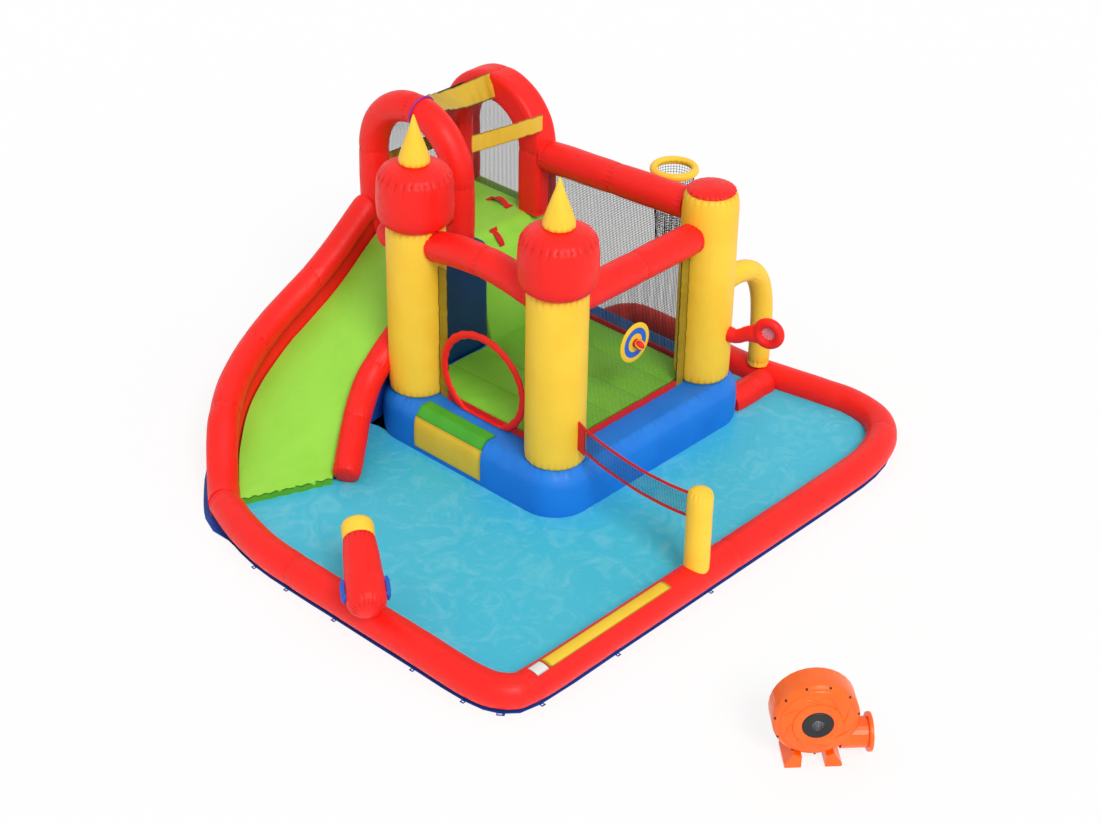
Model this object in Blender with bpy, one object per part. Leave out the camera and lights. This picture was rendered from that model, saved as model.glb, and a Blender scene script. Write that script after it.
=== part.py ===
"""Inflatable water slide with a bounce castle, a splash pool and its blower.

Metres, +Z up. While it is modelled, the axis of the front tower stands at the origin,
the corner column is along +X and the entry tower along +Y. At the end an empty moves
the whole to the middle of its own footprint.
"""

from math import cos, pi, radians, sin, sqrt

import bmesh
import bpy
from mathutils import Matrix, Vector

# Clearances
gap = 0.0003
overrun = 0.02

# Ground sheet
sheet_thickness = 0.004
sheet_margin = 0.03

# Castle: spacing of the towers, base and floor
castle_width = 1.41
castle_depth = 1.21
base_height = 0.385
base_front_margin = 0.22
base_side_margin = 0.215
base_corner_radius = 0.23
base_bulge = 0.03
floor_thickness = 0.035
floor_crown = 0.012
floor_margin = 0.03
floor_channels = 5
channel_depth = 0.006

# Towers, caps, spires and column
tower_radius = 0.19
tower_height = 1.175
cap_radius = 0.243
cap_height = 0.415
spire_radius = 0.105
spire_height = 0.315
column_radius = 0.182
column_height = 1.325
lid_height = 0.022

# Beams
beam_radius = 0.10
beam_height = 1.435
entry_beam_rise = 0.075
back_beam_radius = 0.105
back_beam_height = 1.56
back_beam_drop = 0.08
link_radius = 0.088
link_height = 1.38
link_overhang = 0.13
link_offset = 0.22

# Pool
pool_tube_radius = 0.10
tube_flat = 0.006
pool_left = 1.66
pool_front = 1.195
pool_right_margin = 0.76
pool_right = castle_width + pool_right_margin
pit_width = 0.64
pool_corner_x = castle_width + pit_width
divider_offset = 0.10
pit_set_back = 0.01
pit_depth = castle_depth - pit_set_back
pit_corner = 0.18

# Slide and platform
slide_set_back = 0.26
slide_front = castle_depth + slide_set_back
axis_set_back = 0.33
slide_axis = slide_front + axis_set_back
platform_depth = 0.86
slide_back = slide_front + platform_depth
bed_width = 0.60
bed_thickness = 0.05
platform_height = 1.05
platform_margin = 0.12
platform_right = castle_width + platform_margin
slide_reach = 2.09
slide_swing = 0.70
wall_width = 0.20
wall_rise = 0.25
rail_radius = 0.09
rail_lift = 0.02
ledge = 0.03
ledge_drop = 0.035
bed_dish_share = 0.25
# Outline of the outer wall: share of its half width across, share of it down from the top
wall_section_shares = (
    (1.0, 2.0), (1.0, 1.0), (0.87, 0.5), (0.5, 0.13), (0.0, 0.0), (-0.5, 0.13), (-0.87, 0.5),
    (-1.0, 1.0), (-1.0, 2.0),
)

# Arches
arch_x = 0.57
arch_radius = 0.40
arch_tube_radius = 0.10
arch_springing = 1.56
rear_arch_x = castle_width
rear_arch_shift = 0.06
rear_arch_axis = slide_axis + rear_arch_shift
rear_arch_radius = 0.36
rear_arch_springing = 1.50
rear_arch_half = 0.10
cushion_left = 0.205
cushion_set_back = 0.01
cushion_front = castle_depth + cushion_set_back
cushion_height = 1.18
ramp_overhang = 0.01
ramp_foot = castle_depth - ramp_overhang
ramp_foot_rise = 0.05
ramp_inset = 0.02
ramp_right = castle_width - ramp_inset
band_width = 0.11
band_thickness = 0.012
guard_height = 1.62
far_guard_height = 1.42
hold_length = 0.15
hold_width = 0.035
hold_rise = 0.035
hold_thickness = 0.004
upper_hold_x = 1.29
lower_hold_x = 0.97
lower_hold_y = 1.61
hose_tie_radius = 0.006
hose_lean = 25.0

# Nets, hems and doorway
net_thickness = 0.004
net_bar = 0.009
hem_height = 0.03
hem_thickness = 0.008
flap_width = 0.085
door_half_width = 0.335
door_half_height = 0.275
door_centre_y = 0.61
door_trim = 0.022

# Target and ball
target_radius = 0.135
target_thickness = 0.012
target_height = 0.90
target_x = 0.711
ball_radius = 0.035

# Side arch, toss ring and basket
side_arch_radius = 0.072
side_arch_height = 1.03
toss_height = 0.72
toss_reach = 0.36
toss_heading = 17.5
toss_ring_radius = 0.075
toss_tube_radius = 0.033
toss_neck_radius = 0.045
toss_web_thickness = 0.01
hoop_radius = 0.135
hoop_tube_radius = 0.026
hoop_face_share = 0.97
hoop_height = 1.60
hoop_y = 0.51
hoop_net_height = 0.55
hoop_net_end_radius = 0.10
hoop_net_gaps = 9
hoop_net_rows = 3

# Volley net and post
post_radius = 0.078
post_top = 0.80
post_x = -0.05
volley_height = 0.19
volley_sag = 0.06
volley_high = 0.47
volley_low = 0.40
volley_hem = 0.018

# Water cannon
cannon_x = -1.66
cannon_y = -0.06
cannon_neck_radius = 0.07
cannon_neck_height = 0.085
cannon_tilt = 20.0
cannon_heading = 37.0
barrel_tail_radius = 0.125
barrel_nose_radius = 0.105
barrel_back = 0.24
barrel_front = 0.26
nozzle_length = 0.10
nozzle_bore = 0.075
nozzle_bore_depth = 0.07
handle_length = 0.13
handle_width = 0.03
handle_thickness = 0.02

# Anchor loops
loop_length = 0.045
loop_width = 0.03
loop_strap = 0.008
loop_count = 9

# Blower
blower_x = -0.75
blower_y = -2.59
blower_turn = -43.0
housing_radius = 0.235
housing_half_depth = 0.115
housing_wall = 0.004
# Half shells: share of the radius, share of the half depth, at each step of their profiles
rim_depth_share = 0.60
front_step_shares = ((0.93, 0.72), (0.86, 0.74), (0.83, 0.84))
front_inner_shares = ((0.81, 0.84), (0.84, 0.74), (0.91, 0.72))
hub_depth_share = 0.90
hub_crest_share = 0.95
hub_inner_shares = (0.92, 0.97)
rear_rim_share = 0.70
rear_face_shares = (0.86, 0.95)
rear_face_inner_share = 0.84
rib_start_share = 1.04
rib_end_share = 0.80
rib_sweep = 0.55
rib_fall_share = 0.06
rib_slant = 0.5
outlet_start_share = 0.25
duct_start_share = 0.62
flange_lip_share = 0.92
flange_bevel_share = 0.6
axis_height = 0.30
intake_radius = 0.085
hub_ring_radius = 0.135
rib_count = 8
rib_width = 0.012
duct_radius = 0.085
duct_height = 0.15
duct_reach = 0.315
flange_radius = 0.108
flange_thickness = 0.022
foot_length = 0.10
foot_width = 0.20
foot_height = 0.075
foot_spread = 0.20
impeller_radius = 0.165
impeller_depth = 0.09
blade_count = 12
blade_thickness = 0.004
shaft_radius = 0.008
motor_radius = 0.075
motor_depth = 0.10
switch_width = 0.034
switch_height = 0.024
rocker_angle = 9.0

# Faces on round shapes
tube_sides = 14
tower_sides = 32
turned_steps = 32
duct_sides = 24


def colour(hex_code):
    """An sRGB hex colour as linear RGBA."""
    parts = [int(hex_code[i : i + 2], 16) / 255 for i in (0, 2, 4)]
    linear = [c / 12.92 if c <= 0.04045 else ((c + 0.055) / 1.055) ** 2.4 for c in parts]
    return (*linear, 1.0)


def material(name, hex_code, roughness, metallic=0.0):
    made = bpy.data.materials.new(name)
    made.use_nodes = True
    shader = made.node_tree.nodes["Principled BSDF"]
    shader.inputs["Base Color"].default_value = colour(hex_code)
    shader.inputs["Roughness"].default_value = roughness
    shader.inputs["Metallic"].default_value = metallic
    made.diffuse_color = colour(hex_code)
    return made


def finish(bm, name, finish_material, smooth_degrees=40.0):
    """Turn a bmesh into an object with outward faces and smooth round sides."""
    bmesh.ops.recalc_face_normals(bm, faces=bm.faces[:])
    mesh = bpy.data.meshes.new(name)
    bm.to_mesh(mesh)
    bm.free()
    mesh.shade_smooth()
    mesh.set_sharp_from_angle(angle=radians(smooth_degrees))
    mesh.materials.append(finish_material)
    made = bpy.data.objects.new(name, mesh)
    bpy.context.collection.objects.link(made)
    return made


def cut(target, cutter, operation="DIFFERENCE"):
    cutter.hide_render = True
    cutter.display_type = "WIRE"
    step = target.modifiers.new(cutter.name, "BOOLEAN")
    step.operation = operation
    step.solver = "EXACT"
    step.object = cutter


def set_origin(made, point):
    """Put an object's origin on a joint axis, with its shape where it was."""
    made.data.transform(Matrix.Translation(-Vector(point)))
    made.location = point


def loft(name, rings, finish_material, closed=False, smooth_degrees=40.0):
    """Join rings of points, each with the same count, into one closed body."""
    bm = bmesh.new()
    rows = [[bm.verts.new(point) for point in ring] for ring in rings]
    pairs = list(zip(rows, rows[1:]))
    if closed:
        pairs.append((rows[-1], rows[0]))
    for low, high in pairs:
        for i in range(len(low)):
            j = (i + 1) % len(low)
            bm.faces.new((low[i], low[j], high[j], high[i]))
    if not closed:
        bm.faces.new(rows[0])
        bm.faces.new(rows[-1])
    return finish(bm, name, finish_material, smooth_degrees)


def turned(name, profile, finish_material, centre=(0, 0, 0), steps=turned_steps):
    """Spin a profile of (radius, height) points, top to bottom, about a vertical axis."""
    bm = bmesh.new()
    points = [bm.verts.new((radius, 0, height)) for radius, height in profile]
    for a, b in zip(points, points[1:]):
        bm.edges.new((a, b))
    if profile[0][0] and profile[-1][0]:
        bm.edges.new((points[-1], points[0]))
    bmesh.ops.spin(
        bm,
        geom=bm.verts[:] + bm.edges[:],
        axis=(0, 0, 1),
        cent=(0, 0, 0),
        angle=2 * pi,
        steps=steps,
        use_merge=True,
    )
    bmesh.ops.remove_doubles(bm, verts=bm.verts[:], dist=gap / 10)
    bmesh.ops.translate(bm, verts=bm.verts[:], vec=centre)
    return finish(bm, name, finish_material)


def box(name, low, high, finish_material, bevel=0.0, segments=2):
    bm = bmesh.new()
    bmesh.ops.create_cube(bm, size=1)
    size = Vector(high) - Vector(low)
    bmesh.ops.scale(bm, vec=size, verts=bm.verts[:])
    bmesh.ops.translate(bm, vec=Vector(low) + size / 2, verts=bm.verts[:])
    made = finish(bm, name, finish_material)
    if bevel:
        step = made.modifiers.new("soft_edges", "BEVEL")
        step.width = bevel
        step.segments = segments
        step.limit_method = "ANGLE"
    return made


def cylinder(name, centre, radius, depth, finish_material, axis="Z", sides=tower_sides):
    bm = bmesh.new()
    turn = {"X": Matrix.Rotation(pi / 2, 4, "Y"), "Y": Matrix.Rotation(pi / 2, 4, "X")}
    bmesh.ops.create_cone(
        bm,
        cap_ends=True,
        segments=sides,
        radius1=radius,
        radius2=radius,
        depth=depth,
        matrix=Matrix.Translation(centre) @ turn.get(axis, Matrix()),
    )
    return finish(bm, name, finish_material)


def smooth_path(points, steps):
    """A Catmull-Rom curve through the points, with so many steps a span."""
    points = [Vector(p) for p in points]
    ends = [2 * points[0] - points[1], *points, 2 * points[-1] - points[-2]]
    path = []
    for a, b, c, d in zip(ends, ends[1:], ends[2:], ends[3:]):
        for i in range(steps):
            t = i / steps
            path.append(
                (2 * b + (c - a) * t + (2 * a - 5 * b + 4 * c - d) * t**2
                 + (3 * b - a - 3 * c + d) * t**3) / 2
            )
    path.append(points[-1])
    return path


def tangents(path):
    first = [path[1] - path[0]]
    middle = [c - a for a, c in zip(path, path[2:])]
    return [t.normalized() for t in first + middle + [path[-1] - path[-2]]]


def round_section(radius, sides=tube_sides, squareness=2.0):
    """Points of a circle, or of a rounder square where squareness is over 2."""
    section = []
    for i in range(sides):
        angle = 2 * pi * (i + 0.5) / sides
        x, y = cos(angle), sin(angle)
        stretch = (abs(x) ** squareness + abs(y) ** squareness) ** (-1 / squareness)
        section.append((radius * x * stretch, radius * y * stretch))
    return section


def sweep_rings(path, section, up=(0, 0, 1), floor=None):
    """Rings of a section along a path; no point goes under the floor height."""
    rings = []
    for point, tangent in zip(path, tangents(path)):
        side = tangent.cross(Vector(up)).normalized()
        top = side.cross(tangent).normalized()
        ring = [point + side * a + top * b for a, b in section]
        if floor is not None:
            ring = [Vector((p.x, p.y, max(p.z, floor))) for p in ring]
        rings.append(ring)
    return rings


def tube(name, path, radius, finish_material, up=(0, 0, 1), floor=None, squareness=2.0,
         sides=tube_sides):
    section = round_section(radius, sides, squareness)
    return loft(name, sweep_rings(path, section, up, floor), finish_material)


def rounded_outline(low, high, radius, corner_steps=5):
    """Plan of a rectangle with round corners, anticlockwise."""
    corners = (
        (high[0] - radius, high[1] - radius, 0.0),
        (low[0] + radius, high[1] - radius, pi / 2),
        (low[0] + radius, low[1] + radius, pi),
        (high[0] - radius, low[1] + radius, 3 * pi / 2),
    )
    outline = []
    for x, y, start in corners:
        for i in range(corner_steps + 1):
            angle = start + pi / 2 * i / corner_steps
            outline.append((x + radius * cos(angle), y + radius * sin(angle)))
    return outline


def net(name, origin, along, width, top_line, bottom_line, columns, rows, finish_material,
        foot_bar=net_bar, head_bar=net_bar):
    """A flat net of square-cut bars between two height lines, hemmed at foot and head."""
    along = Vector(along).normalized()
    through = along.cross(Vector((0, 0, 1))).normalized() * net_thickness
    pitch = (width - net_bar) / columns
    us = [i * pitch + edge for i in range(columns + 1) for edge in (0, net_bar)]
    height = top_line(width / 2) - bottom_line(width / 2)
    row_pitch = (height - foot_bar - head_bar + net_bar) / rows
    lows = [0.0] + [foot_bar - net_bar + i * row_pitch for i in range(1, rows + 1)]
    highs = [foot_bar] + [low + net_bar for low in lows[1:-1]] + [height]
    vs = [edge / height for pair in zip(lows, highs) for edge in pair]
    bm = bmesh.new()
    grid = []
    for u in us:
        low, high = bottom_line(u), top_line(u)
        column = []
        for v in vs:
            point = Vector(origin) + along * u + Vector((0, 0, low + v * (high - low)))
            column.append(bm.verts.new(point))
        grid.append(column)
    for i in range(len(us) - 1):
        for j in range(len(vs) - 1):
            if i % 2 and j % 2:
                continue
            bm.faces.new((grid[i][j], grid[i + 1][j], grid[i + 1][j + 1], grid[i][j + 1]))
    front = bm.faces[:]
    made = bmesh.ops.extrude_face_region(bm, geom=front, use_keep_orig=True)
    moved = [part for part in made["geom"] if isinstance(part, bmesh.types.BMVert)]
    bmesh.ops.translate(bm, verts=moved, vec=through)
    return finish(bm, name, finish_material)


# Levels and plans that several pieces share
sheet_top = sheet_thickness
seat = sheet_top + gap
base_top = base_height
floor_level = base_top + gap
tower_foot = base_top + gap
tower_top = tower_foot + tower_height
tower_spots = {"front": (0.0, 0.0), "entry": (0.0, castle_depth)}
column_spot = (castle_width, 0.0)
tube_centre = seat + pool_tube_radius - tube_flat
tube_top = tube_centre + pool_tube_radius
bed_half = bed_width / 2
block_top = platform_height - bed_thickness
column_top = tower_foot + column_height

# The bed's two edges and its height, hand chosen as shares of the slide's reach
# towards -X from the platform, its swing towards -Y and the platform's height
bed_station_shares = (
    (0.000, 0.000, 0.000, 0.000, 1.000),
    (0.083, 0.000, 0.083, 0.000, 0.965),
    (0.273, 0.000, 0.273, 0.000, 0.680),
    (0.512, 0.030, 0.459, 0.050, 0.435),
    (0.703, 0.240, 0.573, 0.215, 0.300),
    (0.842, 0.550, 0.655, 0.390, 0.200),
    (0.943, 0.880, 0.708, 0.510, 0.140),
    (1.000, 1.100, 0.738, 0.570, 0.112),
)
slide_top_x = arch_x + arch_tube_radius
bed_steps = 3
pool_steps = 2


def bed_lines():
    """Left edge, right edge and height of the bed, from the platform down."""
    left = []
    right = []
    for lx, ly, rx, ry, lift in bed_station_shares:
        height = lift * platform_height
        left.append((slide_top_x - lx * slide_reach, slide_axis + bed_half - ly * slide_swing,
                     height))
        right.append((slide_top_x - rx * slide_reach, slide_axis - bed_half - ry * slide_swing,
                      height))
    return smooth_path(left, bed_steps), smooth_path(right, bed_steps)


bed_left, bed_right = bed_lines()


def shifted(path, offset, lift=0.0):
    """The path moved sideways in plan, to the left of its travel where offset is positive."""
    moved = []
    for point, tangent in zip(path, tangents(path)):
        side = Vector((-tangent.y, tangent.x, 0)).normalized()
        moved.append(point + side * offset + Vector((0, 0, lift)))
    return moved


wall_line = shifted(bed_left, -(wall_width / 2 + gap))

# The pool wall's middle line in plan: shares of the pool's reach to the left, front
# and right, from the end of the slide's outer wall round to the back corner
wall_end = wall_line[-1]
wall_heading = tangents(wall_line)[-1]
wall_heading.z = 0
wall_heading.normalize()
pool_left_shares = ((0.955, 0.95), (0.992, 0.70), (1.0, 0.45), (1.0, 0.10), (1.0, -0.45))
front_left_shares = ((0.998, -0.78), (0.965, -0.935), (0.87, -0.995))
front_right_shares = ((0.62, -0.999), (0.775, -0.985), (0.895, -0.92), (0.975, -0.79),
                      (1.0, -0.60), (0.99, -0.42))


def pool_path():
    start = wall_end - wall_heading * overrun
    points = [(start.x, start.y)]
    points += [(-pool_left * x, pool_front * y) for x, y in pool_left_shares]
    points += [(-pool_left * x, pool_front * y) for x, y in front_left_shares]
    points += [(-pool_left / 2, -pool_front), (0.0, -pool_front), (pool_right / 3, -pool_front)]
    points += [(pool_right * x, pool_front * y) for x, y in front_right_shares]
    corner_y = pit_corner - divider_offset
    points += [(pool_corner_x, corner_y)]
    points += [(pool_corner_x, castle_depth * 0.45), (pool_corner_x, pit_depth - pit_corner)]
    bend = pit_corner / sqrt(2)
    points += [(pool_corner_x - pit_corner + bend, pit_depth - pit_corner + bend)]
    points += [(pool_corner_x - pit_corner, pit_depth)]
    points += [(castle_width + base_side_margin + base_bulge + gap, pit_depth)]
    return [(x, y, tube_centre) for x, y in points]


red = material("red_vinyl", "F83A2E", 0.38)
yellow = material("yellow_vinyl", "FAD549", 0.38)
blue = material("blue_vinyl", "1E72CC", 0.4)
navy = material("dark_blue_vinyl", "06355C", 0.42)
green = material("green_vinyl", "8FDB52", 0.42)
floor_green = material("floor_green_vinyl", "82CC48", 0.42)
mesh_grey = material("net_mesh", "2B2D30", 0.7)
webbing = material("red_webbing", "C4211F", 0.7)
blue_webbing = material("blue_webbing", "1C56B0", 0.7)
purple = material("purple_hose", "A23BB5", 0.45)
pink = material("pink_web", "D98B9C", 0.5)
mustard = material("mustard_band", "D9B83A", 0.55)
target_print = material("target_face", "F2C838", 0.5)
orange = material("orange_plastic", "F95A0A", 0.35)
black = material("black_plastic", "15161A", 0.5)
steel = material("zinc_steel", "9A9DA2", 0.35, 1.0)


def grown_cylinder(name, spot, radius, low, high):
    """A cutter that leaves the usual gap round an upright tower."""
    depth = high - low
    centre = (spot[0], spot[1], low + depth / 2)
    return cylinder(name, centre, radius + gap, depth, red)


def tower_cutters():
    high = tower_top + cap_height
    made = {}
    for name, spot in tower_spots.items():
        made[name] = grown_cylinder(f"cut_{name}_tower", spot, tower_radius, 0.0, high)
    made["column"] = grown_cylinder("cut_column", column_spot, column_radius, 0.0, high)
    return made


def ground_sheet():
    """One sheet under pool, pit, castle and slide, a little wider than the walls."""
    reach = pool_tube_radius + sheet_margin
    outline = []
    path = smooth_path(pool_path(), pool_steps)
    for point in shifted(path, -reach):
        outline.append((point.x, point.y))
    right = platform_right + sheet_margin
    far = slide_back + sheet_margin
    outline += [(right, pit_depth + reach), (right, far)]
    wall_out = shifted(wall_line, -(wall_width / 2 + sheet_margin))
    outline += [(slide_top_x, far)]
    outline += [(p.x, p.y) for p in wall_out[bed_steps:-1]]
    rings = [[(x, y, z) for x, y in outline] for z in (0.0, sheet_top)]
    return loft("ground_sheet", rings, blue)


def pool_walls():
    """The low wall tube round pool and pit, and the divider between them."""
    path = smooth_path(pool_path(), pool_steps)
    wall = tube("pool_wall", path, pool_tube_radius, red, floor=seat)
    across = Vector((-wall_heading.y, wall_heading.x, 0)) * wall_width
    blocks = []
    for near in (wall_end + wall_heading * gap, wall_end - wall_heading * wall_width):
        blocks.append([
            (*(near.xy + across.xy * side), height)
            for side, height in ((-1, -wall_rise), (1, -wall_rise), (1, wall_rise * 2),
                                 (-1, wall_rise * 2))
        ])
    cut(wall, loft("cut_pool_wall_end", blocks, red))
    start = castle_width + base_side_margin + base_bulge + gap
    end = pool_corner_x
    points = [(start, -divider_offset, tube_centre), (end, -divider_offset, tube_centre)]
    divider = tube("divider_wall", [Vector(p) for p in points], pool_tube_radius, red,
                   floor=seat)
    grown = pool_tube_radius + gap
    cutter = tube("cut_divider", path, grown, red, floor=0.0)
    cut(divider, cutter)


def anchor_loops(sheet):
    """Webbing loops along the outer edge of the ground sheet, for ground stakes."""
    path = smooth_path(pool_path(), pool_steps)
    edge = shifted(path, -(pool_tube_radius + sheet_margin))
    directions = tangents(edge)
    first = 2 * pool_steps
    stride = 2
    for k in range(loop_count):
        bm = bmesh.new()
        i = first + k * stride
        along = directions[i]
        out = Vector((along.y, -along.x, 0))
        start = edge[i] - out * loop_strap / 2
        ring = []
        for inset in (0.0, loop_strap):
            corners = (
                (-loop_length / 2 + inset, inset),
                (loop_length / 2 - inset, inset),
                (loop_length / 2 - inset, loop_width - inset),
                (-loop_length / 2 + inset, loop_width - inset),
            )
            for height in (0.0, sheet_top):
                ring.append([
                    bm.verts.new((start.x + along.x * a + out.x * b,
                                  start.y + along.y * a + out.y * b, height))
                    for a, b in corners
                ])
        outer_low, outer_high, inner_low, inner_high = ring
        for j in range(4):
            n = (j + 1) % 4
            bm.faces.new((outer_low[j], outer_low[n], outer_high[n], outer_high[j]))
            bm.faces.new((inner_high[j], inner_high[n], inner_low[n], inner_low[j]))
            bm.faces.new((outer_high[j], outer_high[n], inner_high[n], inner_high[j]))
            bm.faces.new((outer_low[n], outer_low[j], inner_low[j], inner_low[n]))
        cut(sheet, finish(bm, f"join_loop_{k + 1}", blue_webbing), "UNION")


def bounce_base():
    """The blue inflated base, fuller at half height than at its top and foot."""
    low = (-base_side_margin, -base_front_margin)
    high = (castle_width + base_side_margin, slide_front - base_bulge - overrun)
    rings = []
    height = base_top - seat
    for rise_share, bulge_share in ((0.0, 0.1), (0.12, 0.62), (0.35, 0.97), (0.6, 1.0),
                                    (0.85, 0.7), (0.95, 0.35), (1.0, 0.0)):
        swell = base_bulge * bulge_share
        outline = rounded_outline((low[0] - swell, low[1] - swell),
                                  (high[0] + swell, high[1] + swell), base_corner_radius + swell)
        rings.append([(x, y, seat + height * rise_share) for x, y in outline])
    return loft("bounce_base", rings, blue)


def bounce_floor(cutters):
    """The green jumping mat, crowned, with sewn channels across it."""
    low = (floor_margin, floor_margin)
    high = (castle_width - floor_margin, ramp_foot - gap)
    bm = bmesh.new()
    columns = floor_channels * 4
    rows = 2
    xs = [low[0] + (high[0] - low[0]) * i / columns for i in range(columns + 1)]
    ys = [low[1] + (high[1] - low[1]) * j / rows for j in range(rows + 1)]
    top = []
    bottom = []
    for i, x in enumerate(xs):
        channel = abs(sin(pi * i / 4)) ** 0.6
        upper = []
        lower = []
        for j, y in enumerate(ys):
            edge = 0.0 if 0 < j < rows else 1.0
            lift = floor_thickness - channel_depth * (1 - channel)
            lift += floor_crown * (1 - edge) * channel
            upper.append(bm.verts.new((x, y, floor_level + lift)))
            lower.append(bm.verts.new((x, y, floor_level)))
        top.append(upper)
        bottom.append(lower)
    for i in range(columns):
        for j in range(rows):
            bm.faces.new((top[i][j], top[i + 1][j], top[i + 1][j + 1], top[i][j + 1]))
        for j in range(rows):
            bm.faces.new((bottom[i][j], bottom[i][j + 1], bottom[i + 1][j + 1], bottom[i + 1][j]))
        for j in (0, rows):
            bm.faces.new((top[i][j], bottom[i][j], bottom[i + 1][j], top[i + 1][j]))
    for i in (0, columns):
        for j in range(rows):
            bm.faces.new((top[i][j], top[i][j + 1], bottom[i][j + 1], bottom[i][j]))
    made = finish(bm, "bounce_floor", floor_green)
    for cutter in cutters.values():
        cut(made, cutter)
    return made


def towers():
    """Two round towers with a swollen cap and a pointed spire each."""
    for name, (x, y) in tower_spots.items():
        radius = tower_radius
        profile = ((0, tower_top), (radius, tower_top), (radius, tower_foot), (0, tower_foot))
        turned(f"{name}_tower", profile, yellow, (x, y, 0), tower_sides)
        foot = tower_top + gap
        top = foot + cap_height
        outer = cap_radius
        cap_profile = (
            (0, top),
            (spire_radius, top - cap_height * 0.01),
            (outer * 0.78, top - cap_height * 0.07),
            (outer * 0.93, top - cap_height * 0.16),
            (outer, top - cap_height * 0.29),
            (outer, foot + cap_height * 0.24),
            (outer * 0.93, foot + cap_height * 0.10),
            (radius, foot),
            (0, foot),
        )
        turned(f"{name}_cap", cap_profile, red, (x, y, 0))
        spire_foot = top + gap
        spire_profile = (
            (0, spire_foot + spire_height),
            (spire_radius * 0.07, spire_foot + spire_height * 0.98),
            (spire_radius * 0.52, spire_foot + spire_height * 0.5),
            (spire_radius * 0.95, spire_foot + spire_height * 0.07),
            (spire_radius * 0.97, spire_foot),
            (0, spire_foot),
        )
        turned(f"{name}_spire", spire_profile, yellow, (x, y, 0), turned_steps // 2)


def corner_column():
    """The plain corner column and the red disc sewn into its top."""
    top = column_top
    radius = column_radius
    soft = radius * 0.08
    profile = (
        (0, top),
        (radius - soft, top),
        (radius, top - soft),
        (radius, tower_foot),
        (0, tower_foot),
    )
    turned("corner_column", profile, yellow, (*column_spot, 0), tower_sides)
    lid = top + gap
    lid_profile = (
        (0, lid + lid_height),
        (radius * 0.55, lid + lid_height * 0.85),
        (radius * 0.86, lid + lid_height * 0.35),
        (radius - soft, lid),
        (0, lid),
    )
    turned("column_lid", lid_profile, red, (*column_spot, 0))


def beams(cutters):
    """Roof beams whose ends are saddled onto the round towers."""
    inset = tower_radius / 2
    span = castle_depth - 2 * inset
    steps = 10
    path = []
    for i in range(steps + 1):
        share = i / steps
        rise = entry_beam_rise * (1 - (2 * share - 1) ** 2)
        path.append(Vector((0, inset + span * share, beam_height + rise)))
    entry = tube("entry_beam", path, beam_radius, red, up=(1, 0, 0))
    cut(entry, cutters["front"])
    cut(entry, cutters["entry"])
    ends = [Vector((inset, 0, beam_height)), Vector((castle_width - inset, 0, beam_height))]
    front = tube("front_beam", ends, beam_radius, red)
    cut(front, cutters["front"])
    cut(front, cutters["column"])
    leg_face = rear_arch_axis - rear_arch_radius - rear_arch_half - gap
    ends = [
        Vector((castle_width, column_radius / 2, back_beam_height)),
        Vector((castle_width, leg_face, back_beam_height - back_beam_drop)),
    ]
    back = tube("back_beam", ends, back_beam_radius, red)
    cut(back, cutters["column"])
    flat = box("cut_back_beam", (castle_width - cap_radius, leg_face, beam_height / 2),
               (castle_width + cap_radius, leg_face + cap_radius, beam_height * 2), red)
    cut(back, flat)
    ends = [
        Vector((-link_overhang, castle_depth + link_offset, link_height)),
        Vector((arch_x - arch_tube_radius - gap, castle_depth + link_offset, link_height)),
    ]
    link = tube("tower_link", ends, link_radius, red)
    cut(link, cutters["entry"])


def wall_stations():
    """The outer wall's middle line, from the slide arch's leg down to the pool."""
    start_x = slide_top_x - wall_width - gap
    for i, (high, low) in enumerate(zip(wall_line, wall_line[1:])):
        if low.x < start_x:
            share = (high.x - start_x) / (high.x - low.x)
            return [high.lerp(low, share), *wall_line[i + 1 :]]
    return wall_line


def slide():
    """Base, bed, outer wall and inner rail of the curved slide."""
    left = shifted(bed_left, gap)
    inner = shifted(bed_right, ledge)
    base_rings = []
    bed_rings = []
    for a, b, c in zip(left, bed_right, inner):
        top = a.z - bed_thickness - gap
        base_rings.append([
            (c.x, c.y, seat), (c.x, c.y, top - ledge_drop), (b.x, b.y, top), (a.x, a.y, top),
            (a.x, a.y, seat),
        ])
        crown = (a + b) / 2
        low = a.z - bed_thickness
        edge = a.z - bed_thickness * bed_dish_share
        bed_rings.append([
            (a.x, a.y, low), (a.x, a.y, edge), (crown.x, crown.y, a.z), (b.x, b.y, edge),
            (b.x, b.y, low),
        ])
    base = loft("slide_base", base_rings, navy)
    bed = loft("slide_bed", bed_rings, green)
    for made in (base, bed):
        cut(made, bpy.data.objects["cut_divider"])

    line = wall_stations()
    wall_rings = []
    half = wall_width / 2
    for point, tangent in zip(line, tangents(line)):
        side = Vector((-tangent.y, tangent.x, 0)).normalized()
        top = point.z + wall_rise
        ring = []
        for across, drop in wall_section_shares:
            spot = point + side * half * across
            ring.append((spot.x, spot.y, max(top - half * drop, seat)))
        ring[0] = (ring[0][0], ring[0][1], seat)
        ring[-1] = (ring[-1][0], ring[-1][1], seat)
        wall_rings.append(ring)
    loft("slide_outer_wall", wall_rings, red)

    rail_path = [
        Vector((p.x, p.y, max(p.z + rail_lift, seat + rail_radius)))
        for p in shifted(bed_right, rail_radius + gap)
        if p.x < cushion_left - gap * 2
    ]
    return tube("slide_inner_rail", rail_path, rail_radius, red, floor=seat)


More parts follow.
